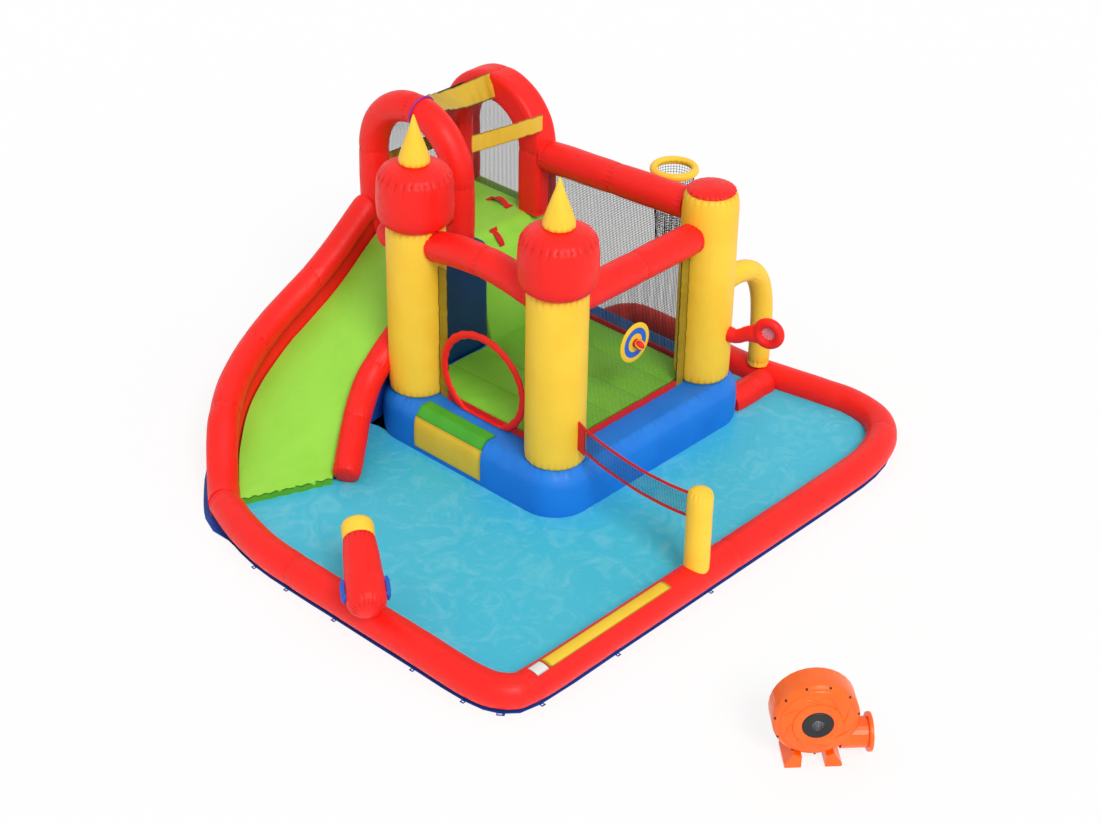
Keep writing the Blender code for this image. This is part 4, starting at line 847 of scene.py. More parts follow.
class SlideSizes(bpy.types.PropertyGroup):
    """Sizes of the looks that an owner would change."""

    net_pitch: bpy.props.FloatProperty(name="Net pitch", description="Between net strands",
                                       default=0.0125, unit="LENGTH")
    strand: bpy.props.FloatProperty(name="Strand", description="Thickness of a net strand",
                                    default=0.0040, unit="LENGTH")
    fine_strand: bpy.props.FloatProperty(name="Fine strand", description="In the near nets",
                                         default=0.0013, unit="LENGTH")
    pucker: bpy.props.FloatProperty(name="Pucker", description="Depth that a seam draws in",
                                    default=0.009, unit="LENGTH")
    water_level: bpy.props.FloatProperty(name="Water level", description="Height of the water",
                                         default=0.075, unit="LENGTH")


# Routes that several pieces follow


def base_bulge(share):
    """How far the base's side stands out, so far up, and how its top edge rounds over."""
    side = 0.03 * (1 - abs(2 * share - 1.02) ** 2.6)
    return side - 0.038 * max(0.0, (share - 0.74) / 0.26) ** 2.2


BED_STATIONS = (
    (0.000, 0.000, 0.000, 0.000, 1.000),
    (0.083, 0.000, 0.083, 0.000, 0.965),
    (0.273, 0.000, 0.273, 0.000, 0.680),
    (0.512, 0.030, 0.459, 0.050, 0.435),
    (0.703, 0.240, 0.573, 0.215, 0.300),
    (0.842, 0.550, 0.655, 0.390, 0.200),
    (0.943, 0.880, 0.708, 0.510, 0.140),
    (1.000, 1.100, 0.738, 0.570, 0.112),
)


def bed_edges(steps):
    left = []
    right = []
    for lx, ly, rx, ry, lift in BED_STATIONS:
        height = lift * PLATFORM
        left.append((SLIDE_TOP - lx * SLIDE_REACH, SLIDE_AXIS + BED_HALF - ly * SLIDE_SWING,
                     height))
        right.append((SLIDE_TOP - rx * SLIDE_REACH, SLIDE_AXIS - BED_HALF - ry * SLIDE_SWING,
                      height))
    return curve_through(left, steps), curve_through(right, steps)


def wall_route(steps=3):
    return beside(bed_edges(steps)[0], -(WALL_WIDTH / 2 + GAP))


def pool_route(steps=12):
    """Middle line of the pool wall, from the slide's outer wall round to the base."""
    line = wall_route()
    heading = headings(line)[-1]
    heading.z = 0
    heading.normalize()
    start = line[-1] + heading * GAP
    points = [(start.x, start.y)]
    points += [(-POOL_LEFT * x, POOL_FRONT * y) for x, y in (
        (0.955, 0.95), (0.992, 0.70), (1.0, 0.45), (1.0, 0.10), (1.0, -0.45), (0.998, -0.78),
        (0.965, -0.935), (0.87, -0.995))]
    points += [(-POOL_LEFT / 2, -POOL_FRONT), (0.0, -POOL_FRONT), (POOL_RIGHT / 3, -POOL_FRONT)]
    points += [(POOL_RIGHT * x, POOL_FRONT * y) for x, y in (
        (0.62, -0.999), (0.775, -0.985), (0.895, -0.92), (0.975, -0.79), (1.0, -0.60),
        (0.99, -0.42))]
    points += [(POOL_CORNER, PIT_CORNER - 0.10), (POOL_CORNER, CASTLE_DEPTH * 0.45),
               (POOL_CORNER, PIT_DEPTH - PIT_CORNER)]
    bend = PIT_CORNER / sqrt(2)
    points += [(POOL_CORNER - PIT_CORNER + bend, PIT_DEPTH - PIT_CORNER + bend),
               (POOL_CORNER - PIT_CORNER, PIT_DEPTH), (CASTLE_WIDTH + 0.2453, PIT_DEPTH)]
    return curve_through([(x, y, POOL_CENTRE) for x, y in points], steps)


def arch_route(x, axis, radius, springing, near_foot, far_foot, steps=36):
    line = [Vector((x, axis - radius, near_foot))]
    for i in range(steps + 1):
        angle = pi * i / steps
        line.append(Vector((x, axis - radius * cos(angle), springing + radius * sin(angle))))
    line.append(Vector((x, axis + radius, far_foot)))
    return line


def blower_spot(x, y, z):
    """A point of the blower's own frame, whose fan axis runs along its Y, in the frame."""
    turn = radians(BLOWER_TURN)
    return spot(BLOWER_PLACE[0] + x * cos(turn) - y * sin(turn),
                BLOWER_PLACE[1] + x * sin(turn) + y * cos(turn), z)


# Pieces


# The camera fitted to the photograph: yaw, pitch and roll in degrees, focal length in pixels
CAMERA_TURN = (42.648, 32.134, 0.993)
CAMERA_PLACE = (-8.325, -7.622, 7.79)
FOCAL_PIXELS = 2182.6
PHOTO_WIDTH = 1100
SENSOR_WIDTH = 36.0


class PieceOperator(bpy.types.Operator):
    """Shared settings of the operators that build pieces."""

    bl_options = {"REGISTER", "UNDO"}

    @property
    def sizes(self):
        return bpy.context.scene.slide_sizes


class SLIDE_OT_camera_and_stage(PieceOperator):
    """Set the camera where the photograph was taken from, the lamps and the pale floor"""

    bl_idname = "slide.camera_and_stage"
    bl_label = "Camera and stage"

    def execute(self, context):
        scene = context.scene
        scene.view_settings.view_transform = "Standard"
        yaw, pitch, roll = (radians(degrees) for degrees in CAMERA_TURN)
        ahead = Vector((cos(yaw) * cos(pitch), sin(yaw) * cos(pitch), -sin(pitch)))
        right = Vector((sin(yaw), -cos(yaw), 0))
        up = right.cross(ahead)
        turned_right = right * cos(roll) + up * sin(roll)
        turned_up = up * cos(roll) - right * sin(roll)
        lens = bpy.data.cameras.new("photo_camera")
        lens.sensor_width = SENSOR_WIDTH
        lens.lens = FOCAL_PIXELS / PHOTO_WIDTH * SENSOR_WIDTH
        lens.clip_end = 100.0
        camera = placed("photo_camera", lens)
        frame_axes = Matrix((turned_right, turned_up, -ahead)).transposed().to_4x4()
        camera.matrix_world = Matrix.Translation(spot(*CAMERA_PLACE)) @ frame_axes
        scene.camera = camera

        lamp = bpy.data.lights.new("soft_sun", "SUN")
        lamp.energy = 1.75
        lamp.angle = radians(24.0)
        sun = placed("soft_sun", lamp)
        sun.location = spot(-2.6, -5.6, 6.6)
        aim = spot(0.2, 0.2, 0.4) - sun.location
        sun.rotation_euler = aim.to_track_quat("-Z", "Y").to_euler()

        world = bpy.data.worlds.new("studio")
        scene.world = world
        world.use_nodes = True
        tree = world.node_tree
        tree.nodes.clear()
        seen = seen_of(tree)
        soft = add_node(tree, "ShaderNodeBackground", {"Color": (1, 1, 1, 1), "Strength": 0.6})
        white = add_node(tree, "ShaderNodeBackground", {"Color": (1, 1, 1, 1), "Strength": 1.0})
        mixed = add_node(tree, "ShaderNodeMixShader", None,
                         {0: seen, 1: soft.outputs[0], 2: white.outputs[0]})
        add_node(tree, "ShaderNodeOutputWorld", None, {"Surface": mixed.outputs[0]})

        bpy.ops.mesh.primitive_plane_add(size=60.0, location=(0, 0, -0.001))
        floor = context.view_layer.objects.active
        floor.name = "studio_floor"
        bpy.ops.object.transform_apply(location=True)
        paint, tree, shader = new_material("pale_floor")
        grain = add_node(tree, "ShaderNodeTexNoise", {"Scale": 0.6})
        tone = shaded_mix(tree, grain.outputs["Fac"], "FCFCFC", "FFFFFF")
        tree.links.new(tone.outputs[2], shader.inputs["Base Color"])
        shader.inputs["Roughness"].default_value = 0.9
        shader.inputs["Specular IOR Level"].default_value = 0.1
        # seen directly the floor is a white backdrop that keeps part of the object's shadow
        share = add_node(tree, "ShaderNodeMath", {"operation": "MULTIPLY", 1: 0.82},
                         {0: seen_of(tree)})
        glow = add_node(tree, "ShaderNodeEmission", {"Color": (1, 1, 1, 1), "Strength": 1.0})
        lifted = add_node(tree, "ShaderNodeMixShader", None,
                          {0: share.outputs["Value"], 1: shader.outputs[0], 2: glow.outputs[0]})
        tree.links.new(lifted.outputs[0], tree.nodes["Material Output"].inputs["Surface"])
        floor.data.materials.append(paint)
        return {"FINISHED"}


class SLIDE_OT_pool(PieceOperator):
    """Make the ground sheet, the pool's wall tubes and the water"""

    bl_idname = "slide.pool"
    bl_label = "Pool"

    def execute(self, context):
        sheet = copied_node("ground_cloth", "ground_sheet")
        sheet.data.attributes.new("seam", "FLOAT", "POINT")
        # the wall has settled outwards over the margin, so little of it and its loops shows
        under, hem = 0.07, 0.062
        route = [Vector((p.x, p.y, 0)) for p in wall_route()[-24:] + pool_route(6)]
        for vertex in sheet.data.vertices:
            here = Vector((vertex.co.x, vertex.co.y, 0)) - ORIGIN
            nearest = min(route, key=lambda p: (p - here).length_squared)
            out = here - nearest
            margin = out.length - under
            if 0.0 < margin < 0.2 and nearest.y < PIT_DEPTH * 0.97:
                margin = min(margin, hem) * 0.1 + max(margin - hem, 0.0) * 0.8
                moved = nearest + out.normalized() * (under + margin)
                vertex.co.x, vertex.co.y = spot(moved.x, moved.y).xy
        dress(sheet, cloth("sheet_blue"), ROOT, "blue_vinyl", "ground_sheet")

        line = pool_route()
        length = reaches(line)[-1]
        joins = 5
        seams = [0.03] + [length * (i + 0.5) / joins for i in range(joins)]
        wall = air_tube("pool_ring", line, POOL_RADIUS, seams, floor=SEAT, sides=64, step=0.04,
                        depth=self.sizes.pucker * 0.5, count=22)
        fill(wall, "red_vinyl", "pool_wall")

        start, end = CASTLE_WIDTH + 0.18, POOL_CORNER - POOL_RADIUS * 0.8
        line = [Vector((start, -0.10, POOL_CENTRE)), Vector((end, -0.10, POOL_CENTRE))]
        wall = air_tube("pool_divider", line, POOL_RADIUS - 0.002, [0.012, 0.28], floor=SEAT,
                        depth=self.sizes.pucker, step=0.02)
        fill(wall, "red_vinyl", "divider_wall")

        water = self.water_sheet()
        material = pool_water_look("still_water", context.scene.slide_colours.water, "9CE4EC")
        dress(water, material, ROOT, "blue_vinyl")
        return {"FINISHED"}

    def water_sheet(self):
        """A thin slab of water up to the inner face of the walls."""
        level = self.sizes.water_level
        tuck = 0.02
        inner = beside(pool_route(4), POOL_RADIUS - tuck)
        plan = [Vector((p.x, p.y, 0)) for p in inner if p.y < PIT_DEPTH - POOL_RADIUS * 0.6]
        plan = [p for p in plan if not (p.x < -0.2 and p.y > 1.30)]
        side, front = CASTLE_WIDTH + BASE_MARGIN - tuck * 0.5, -0.20
        shore = [(side, PIT_DEPTH - POOL_RADIUS * 0.8), (side, 0.0), (side - 0.06, -0.13),
                 (side - 0.19, front), (0.0, front), (-0.12, -0.17), (-0.185, -0.10),
                 (-0.205, 0.0), (-0.205, 1.38)]
        # under the inner rail and the bed's foot the sheet of water runs on, out of sight
        under_bed = [p for p in beside(bed_edges(6)[1], -0.04) if p.x < -0.21]
        shore += [(p.x, p.y) for p in under_bed]
        shore += [(-0.90, 1.16), (-1.38, 1.36)]
        shore = [Vector((x, y, 0)) for x, y in shore]
        outline = [(p.x, p.y) for p in plan + shore]
        bm = bmesh.new()
        rim = [bm.verts.new(spot(x, y, level)) for x, y in outline]
        bm.faces.new(rim)
        bmesh.ops.triangulate(bm, faces=bm.faces[:])
        made_faces = bmesh.ops.extrude_face_region(bm, geom=bm.faces[:], use_keep_orig=True)
        lower = [g for g in made_faces["geom"] if isinstance(g, bmesh.types.BMVert)]
        bmesh.ops.translate(bm, verts=lower, vec=(0, 0, -0.012))
        bmesh.ops.recalc_face_normals(bm, faces=bm.faces[:])
        mesh = bpy.data.meshes.new("pool_water")
        bm.to_mesh(mesh)
        bm.free()
        return placed("pool_water", mesh)


class SLIDE_OT_base(PieceOperator):
    """Make the castle's air-filled base and its jumping floor"""

    bl_idname = "slide.base"
    bl_label = "Base and floor"

    def execute(self, context):
        low = (-BASE_MARGIN, -0.22)
        high = (CASTLE_WIDTH + BASE_MARGIN, 1.47 - 0.03 - 0.02)
        plan = rounded_plan(low, high, 0.23, 0.013)
        rings = []
        marks = []
        shares = (0.0, 0.02, 0.05, 0.10, 0.17, 0.26, 0.38, 0.5, 0.62, 0.74, 0.80, 0.86, 0.91,
                  0.945, 0.97, 0.988, 1.0)
        depth = self.sizes.pucker
        tall = BASE_TOP - SEAT
        centre = Vector(((low[0] + high[0]) / 2, (low[1] + high[1]) / 2, 0))
        walked = reaches(plan + [plan[0]])
        corner_seams = [walked[-1] * i / 14 for i in range(14)]
        for share in shares:
            bulge = base_bulge(share)
            ring = []
            for i, point in enumerate(plan):
                ahead = plan[(i + 1) % len(plan)] - plan[i - 1]
                out = Vector((ahead.y, -ahead.x, 0)).normalized()
                edge = min(share, 1 - share) * tall
                drawn = pucker(edge, walked[i] / 0.035, 1, depth * 1.1, 0.03)
                near = min(abs(walked[i] - s) for s in corner_seams)
                drawn += depth * 0.2 * exp(-near / 0.012)
                place = point + out * (bulge - drawn)
                ring.append(spot(place.x, place.y, SEAT + tall * share))
                # painted shade in the creases drawn in along the top and bottom edges, with the
                # thin corner seam lines
                marks.append(0.25 * (drawn / depth) ** 2)
            rings.append(ring)
        for inset, drop in ((0.055, -0.001), (0.10, 0.0), (0.16, 0.001)):
            ring = []
            for point in plan:
                inward = (centre - point).normalized()
                place = point + inward * inset
                ring.append(spot(place.x, place.y, BASE_TOP - drop))
                marks.append(0.0)
            rings.append(ring)
        base = smooth_skin("castle_base", rings, marks)
        fill(base, "blue_vinyl", "bounce_base")
        self.floor_mat()
        self.side_patch()
        return {"FINISHED"}

    def floor_mat(self):
        """The green jumping mat, sewn across in channels."""
        low = (0.03, 0.03)
        high = (CASTLE_WIDTH - 0.03, 1.20 - GAP)
        foot = CASTLE_FLOOR
        columns, rows = 120, 70
        rings = []
        marks = []
        for i in range(columns + 1):
            x = low[0] + (high[0] - low[0]) * i / columns
            wave = abs(sin(pi * i / 24)) ** 0.5
            upper = []
            seam = 0.2 if i % 24 == 0 else 0.0
            for j in range(rows + 1):
                share = j / rows
                y = low[1] + (high[1] - low[1]) * share
                crown = 1 - abs(2 * share - 1) ** 3
                lift = 0.033 - 0.006 * (1 - wave) + 0.011 * crown * wave
                lift += 0.0025 * noise.noise(Vector((x * 9, y * 5, 0.3))) - pucker(
                    abs(sin(pi * i / 24)) * 0.08, y / 0.03, 1, 0.004, 0.03)
                upper.append(self.clear_of_towers(x, y, foot + lift))
            lower = [Vector((p.x, p.y, foot)) for p in reversed(upper)]
            rings.append([spot(*p) for p in upper + lower])
            marks += [seam] * len(upper) + [0.0] * len(lower)
        mat = smooth_skin("jumping_mat", rings, marks)
        fill(mat, "floor_green_vinyl", "bounce_floor")

    def clear_of_towers(self, x, y, z):
        """Push a point of the mat out of the towers that stand on its corners."""
        for cx, cy, radius in ((0.0, 0.0, TOWER_RADIUS), (0.0, CASTLE_DEPTH, TOWER_RADIUS),
                               (CASTLE_WIDTH, 0.0, COLUMN_RADIUS)):
            away = Vector((x - cx, y - cy, 0))
            if away.length < radius:
                away = away.normalized() * radius
                return Vector((cx + away.x, cy + away.y, z))
        return Vector((x, y, z))

    def side_patch(self):
        """The bare two-colour patch on the base below the round doorway."""
        start, end, thickness = 0.41, 1.0, 0.003
        for name, key, low, high in (
            ("base_patch_lower", "patch_yellow", 0.0, 0.62),
            ("base_patch_upper", "patch_green", 0.62, 1.0),
        ):
            rings = []
            marks = []
            for i in range(25):
                y = start + (end - start) * i / 24
                ring = []
                for out in (1, 0):
                    for k in range(13):
                        part = k / 12 if out else 1 - k / 12
                        x, z = self.over_edge(low + (high - low) * part, 0.0015 + thickness * out)
                        ring.append(spot(x, y, z))
                        marks.append(0.4 if k in (0, 12) or i in (0, 24) else 0.0)
                rings.append(ring)
            patch = smooth_skin(name, rings, marks)
            dress(patch, cloth(key), ROOT, "yellow_vinyl")

    def over_edge(self, share, lift):
        """A point on the way up the base's side and over its top edge, lifted off the cloth."""
        reach = 0.118 + 0.345 * share
        part = min((reach - SEAT) / (BASE_TOP - SEAT), 1.0)
        turn = max(0.0, (part - 0.8) / 0.2) * pi / 2
        x = -(BASE_MARGIN + base_bulge(part)) + max(0.0, reach - BASE_TOP)
        return x - lift * cos(turn), min(reach, BASE_TOP) + (lift + 0.002) * sin(turn)


class SLIDE_OT_towers(PieceOperator):
    """Make the towers with caps and spires, and the corner column with its lid"""

    bl_idname = "slide.towers"
    bl_label = "Towers"

    def execute(self, context):
        depth = self.sizes.pucker
        foot = CASTLE_FLOOR
        top = foot + TOWER_HEIGHT
        for side, y in (("front", 0.0), ("entry", CASTLE_DEPTH)):
            r = TOWER_RADIUS
            shaft = [(0.0, foot), (r - 0.012, foot + 0.001), (r - 0.002, foot + 0.012),
                     (r, foot + 0.05), (r, top - 0.05), (r - 0.004, top - 0.012),
                     (r - 0.012, top - 0.001), (0.0, top)]
            made = turned_skin(f"{side}_tower_skin", shaft, (0, y, 0),
                               [(r - 0.002, foot + 0.012), (r - 0.004, top - 0.012)],
                               count=26, depth=depth * 0.4, reach=0.03, steps=112)
            fill(made, "yellow_vinyl", f"{side}_tower")
            low, widest = top + GAP, 0.243
            cap = [(0.0, low), (r - 0.02, low), (r + 0.002, low + 0.004), (0.222, low + 0.03),
                   (0.237, low + 0.065), (widest, low + 0.11), (widest + 0.001, low + 0.20),
                   (widest - 0.002, low + 0.28), (0.236, low + 0.325), (0.228, low + 0.342),
                   (0.208, low + 0.368), (0.176, low + 0.388), (0.135, low + 0.403),
                   (0.09, low + 0.412), (0.04, low + CAP_HEIGHT), (0.0, low + CAP_HEIGHT)]
            made = turned_skin(f"{side}_cap_skin", cap, (0, y, 0),
                               [(0.228, low + 0.342), (r + 0.002, low + 0.004)], count=28,
                               depth=depth * 1.4, reach=0.034, steps=168, step=0.008)
            fill(made, "red_vinyl", f"{side}_cap")
            low = top + CAP_HEIGHT + GAP * 2
            spire = [(0.0, low), (0.096, low), (0.1015, low + 0.006), (0.1, low + 0.022),
                     (0.086, low + 0.07), (0.055, low + 0.158), (0.028, low + 0.235),
                     (0.012, low + 0.29), (0.005, low + 0.309), (0.0, low + 0.315)]
            made = turned_skin(f"{side}_spire_skin", spire, (0, y, 0), [(0.1015, low + 0.006)],
                               count=14, depth=depth * 0.8, reach=0.016, steps=96, step=0.008)
            fill(made, "yellow_vinyl", f"{side}_spire")
        r = COLUMN_RADIUS
        top = foot + COLUMN_HEIGHT
        shaft = [(0.0, foot), (r - 0.012, foot + 0.001), (r - 0.002, foot + 0.012),
                 (r, foot + 0.05), (r, top - 0.12), (r - 0.003, top - 0.07),
                 (r - 0.009, top - 0.032), (r - 0.018, top - 0.01), (r - 0.034, top), (0.0, top)]
        made = turned_skin("column_skin", shaft, (CASTLE_WIDTH, 0, 0),
                           [(r - 0.002, foot + 0.012), (r - 0.018, top - 0.01)], count=24,
                           depth=depth * 0.5, reach=0.03, steps=144)
        fill(made, "yellow_vinyl", "corner_column")
        low = top + GAP
        lid = [(0.0, low), (r - 0.024, low), (r - 0.019, low + 0.006), (r - 0.032, low + 0.018),
               (0.115, low + 0.034), (0.06, low + 0.046), (0.0, low + 0.049)]
        made = turned_skin("column_lid_skin", lid, (CASTLE_WIDTH, 0, 0),
                           [(r - 0.019, low + 0.006)], count=24, depth=depth * 1.3, reach=0.03,
                           steps=144, step=0.006)
        fill(made, "red_vinyl", "column_lid")
        return {"FINISHED"}


class SLIDE_OT_beams(PieceOperator):
    """Make the roof beams and the short link behind the entry tower"""

    bl_idname = "slide.beams"
    bl_label = "Beams"

    def execute(self, context):
        depth = self.sizes.pucker
        inset = TOWER_RADIUS * 0.92
        line = []
        for i in range(41):
            share = (inset + (CASTLE_DEPTH - 2 * inset) * i / 40 - 0.095) / (CASTLE_DEPTH - 0.19)
            rise = BEAM_RISE * (1 - (2 * share - 1) ** 2)
            y = 0.095 + (CASTLE_DEPTH - 0.19) * share
            line.append(Vector((0, y, BEAM_HEIGHT + rise)))
        self.beam("entry", line, BEAM_RADIUS, (1, 0, 0), depth)
        line = [Vector((inset, 0, BEAM_HEIGHT)),
                Vector((CASTLE_WIDTH - COLUMN_RADIUS * 0.92, 0, BEAM_HEIGHT))]
        self.beam("front", line, BEAM_RADIUS, (0, 0, 1), depth)
        leg = CLIMB_AXIS - CLIMB_RADIUS - ARCH_TUBE - GAP
        line = [Vector((CASTLE_WIDTH, COLUMN_RADIUS * 0.92, 1.555)),
                Vector((CASTLE_WIDTH, leg, 1.48))]
        self.beam("back", line, BACK_BEAM_RADIUS, (0, 0, 1), depth)
        line = [Vector((-0.072, 1.43, 1.405)), Vector((0.47 - GAP, 1.43, 1.385))]
        total = (line[1] - line[0]).length
        made = air_tube("tower_link_tube", line, 0.088, [0.02, total - 0.01], ends=(0.05, 0.0),
                        depth=depth, step=0.015)
        fill(made, "red_vinyl", "tower_link")
        return {"FINISHED"}

    def beam(self, side, line, radius, up, depth):
        length = reaches(line)[-1]
        made = air_tube(f"{side}_beam_tube", line, radius, [0.025, length / 2, length - 0.02],
                        up=up, depth=depth * 1.1, step=0.018, count=20)
        fill(made, "red_vinyl", f"{side}_beam")


class SLIDE_OT_chute(PieceOperator):
    """Make the slide's bed, lower wall, outer wall and inner rail"""

    bl_idname = "slide.chute"
    bl_label = "Slide"

    def execute(self, context):
        left, right = bed_edges(14)
        left = beside(left, GAP)
        self.bed(left, right)
        lower = puffed_copy("slide_lower_wall", "slide_base", 0.016, 4, 0.002)
        # painted light: the lower wall gets a lighter blue than its dark-blue slot, lifting its
        # shade
        dress(lower, cloth("lower_wall_painted_light_blue"), ROOT, "dark_blue_vinyl", "slide_base")
        self.outer_wall()
        self.inner_rail(right)
        return {"FINISHED"}

    def bed(self, left, right):
        """The sliding surface between its two edges, and the lip that hangs from its end."""
        rings = []
        parts = 24
        for a, b in zip(left, right):
            ring = []
            for k in range(parts + 1):
                share = k / parts
                point = a.lerp(b, share)
                sag = BED_THICK * 0.25 * (2 * share - 1) ** 2
                lump = 0.004 * noise.noise(Vector((point.x * 7, point.y * 7, 2.0)))
                crease = 0.002 * noise.noise(Vector((point.x * 2, point.y * 30, 5.0)))
                ring.append(spot(point.x, point.y, a.z - sag + lump + crease - 0.002))
            for k in range(parts + 1):
                point = a.lerp(b, 1 - k / parts)
                ring.append(spot(point.x, point.y, a.z - BED_THICK))
            rings.append(ring)
        bed = smooth_skin("slide_bed_cloth", rings)
        fill(bed, "green_vinyl", "slide_bed")

        ahead = (left[-1] - left[-2]).normalized()
        lip = []
        for i in range(61):
            point = left[-1].lerp(right[-1], i / 60) + ahead * 0.008
            lip.append((point.x, point.y, left[-1].z - 0.034 + 0.005 * sin(i * 0.9)))
        hang = (ahead.x * 0.012, ahead.y * 0.012, -0.062)
        lip = ribbon("slide_bed_lip", lip, [hang] * len(lip), 0.004, 0.012, parts=6)
        dress(lip, cloth("lip_green"), ROOT, "green_vinyl")

    def inner_rail(self, right):
        """The tube along the bed's castle side."""
        line = []
        for p in beside(right, RAIL_RADIUS + GAP):
            if p.x < 0.2044:
                line.append(Vector((p.x, p.y, max(p.z + 0.02, SEAT + RAIL_RADIUS))))
        length = reaches(line)[-1]
        seams = [0.03, length * 0.36, length * 0.68, length - 0.025]
        rail = air_tube("inner_rail_tube", line, RAIL_RADIUS, seams, floor=SEAT,
                        depth=self.sizes.pucker, step=0.022, ends=(0.0, 0.03), count=20)
        fill(rail, "red_vinyl", "slide_inner_rail")

    def outer_wall(self):
        """A round tube sewn along the top of an upright panel, down the slide's outside."""
        start = SLIDE_TOP - WALL_WIDTH - GAP
        line = [p for p in beside(bed_edges(14)[0], -(WALL_WIDTH / 2 + GAP)) if p.x <= start]
        line.insert(0, Vector((start, line[0].y, line[0].z + (start - line[0].x) * 0.14)))
        total = reaches(line)
        half = WALL_WIDTH / 2
        seams = [total[-1] * k / 4 for k in range(1, 4)]
        rings = []
        marks = []
        depth = self.sizes.pucker
        for s in stations(total[-1], seams, 0.028):
            here = at_reach(line, total, s)
            ahead = at_reach(line, total, s + 0.01) - at_reach(line, total, s - 0.01)
            side = Vector((-ahead.y, ahead.x, 0)).normalized()
            near = min(abs(s - seam) for seam in seams)
            top = here.z + WALL_RISE - 0.004
            fall = min(max((s - total[-1] + 0.55) / 0.55, 0.0), 1.0)
            fall = fall * fall * (3 - 2 * fall)
            top += (POOL_CENTRE + POOL_RADIUS + 0.004 - top) * fall
            ring = []
            section = []
            for k in range(41):
                angle = -0.28 * pi + 1.56 * pi * k / 40
                section.append((cos(angle) * half, top - half + sin(angle) * half, angle))
            waist = section[0][1]
            steps = 8
            left_low = [(half * 0.9, SEAT + (waist - SEAT) * (k / steps) ** 0.9, 0.0)
                        for k in range(steps)]
            right_low = [(-x, z, a) for x, z, a in reversed(left_low)]
            for across, z, angle in left_low + section + right_low:
                drawn = pucker(near, angle, 14, depth, 0.022) if angle else 0.0
                if not angle or abs(z - waist) < 0.012:
                    drawn += pucker(abs(z - waist), s / 0.03, 1, depth * 0.6, 0.03)
                    z = max(z, SEAT)
                scale = 1 - drawn / half
                place = here + side * across * scale
                high = top - half
                z = high + (z - high) * scale if z > high else z
                lump = uneven(Vector((place.x, place.y, z)), 0.15, 0.002)
                ring.append(spot(place.x + side.x * lump, place.y + side.y * lump, max(z, SEAT)))
                # 0.5 on the seam line at the waist; elsewhere painted shade in the pucker creases,
                # darker where the cloth is drawn in further
                marks.append(0.5 if abs(z - waist) < 0.002 else 0.4 * (drawn / depth) ** 2)
            rings.append(ring)
        wall = smooth_skin("outer_wall_skin", rings, marks)
        fill(wall, "red_vinyl", "slide_outer_wall")


class SLIDE_OT_platform(PieceOperator):
    """Make the platform, its mat, the climbing ramp, the side cushion and the hand straps"""

    bl_idname = "slide.platform"
    bl_label = "Platform"

    def execute(self, context):
        for name, node, key in (
            ("platform_body", "platform_block", "dark_blue_vinyl"),
            ("ramp_cushion", "climb_ramp", "green_vinyl"),
            ("side_pad", "side_cushion", "dark_blue_vinyl"),
        ):
            made = puffed_copy(name, node, 0.014, 5)
            fill(made, key, node)
        self.mat(PLATFORM)
        self.straps(PLATFORM)
        return {"FINISHED"}

    def mat(self, top):
        """The green mat, whose front edge rolls over and down onto the ramp."""
        rings = []
        columns, rows = 48, 48
        y0, y1, lip = 1.425, 2.33, 1.475
        x0, x1 = SLIDE_TOP + GAP, 1.53
        for i in range(columns + 1):
            x = x0 + (x1 - x0) * i / columns
            upper = []
            for j in range(rows + 1):
                y = y0 + (y1 - y0) * j / rows
                edge = min(i, columns - i, j, rows - j) / 3
                drop = 0.02 * max(0.0, 1 - edge) ** 2 + (0.02 * max(0.0, 1 - abs(y - lip) / 0.05))
                lump = 0.003 * noise.noise(Vector((x * 9, y * 9, 1.0)))
                roll = max(0.0, lip - y)
                upper.append((x, y, top - drop - roll * 1.9 + min(lump, 0.0) - 0.001))
            lower = [(x, y, min(PLATFORM - BED_THICK + GAP, z - 0.035))
                     for x, y, z in reversed(upper)]
            rings.append([spot(*p) for p in upper + lower])
        mat = smooth_skin("platform_cloth", rings)
        fill(mat, "green_vinyl", "platform_mat")

    def straps(self, top):
        """Two red hand straps with their sewn-down ends."""
        webbing = red_tape_look()
        for name, x, back, front in (
            ("upper_strap", 1.29, (1.815, top - 0.002), (1.665, top - 0.002)),
            ("lower_strap", 0.98, (1.488, top - 0.018), (1.412, top - 0.158)),
        ):
            back, front = Vector((x, *back)), Vector((x, *front))
            along = (front - back).normalized()
            out = Vector((0, along.z, -along.y))
            line = [back.lerp(front, i / 24) + out * 0.036 * sin(pi * i / 24) ** 0.8
                    for i in range(25)]
            strap = ribbon(name, line, [(0.046, 0, 0)] * 25, 0.004)
            dress(strap, webbing, ROOT, "red_webbing")
            for side, foot in (("far", back), ("near", front)):
                away = along * (-0.012 if side == "far" else 0.012) + out * 0.003
                tab = ribbon(f"{name}_{side}_tab", [foot + away - Vector((0.034, 0, 0)),
                                                   foot + away + Vector((0.034, 0, 0))],
                             [along * 0.028] * 2, 0.004)
                dress(tab, webbing, ROOT, "red_webbing")


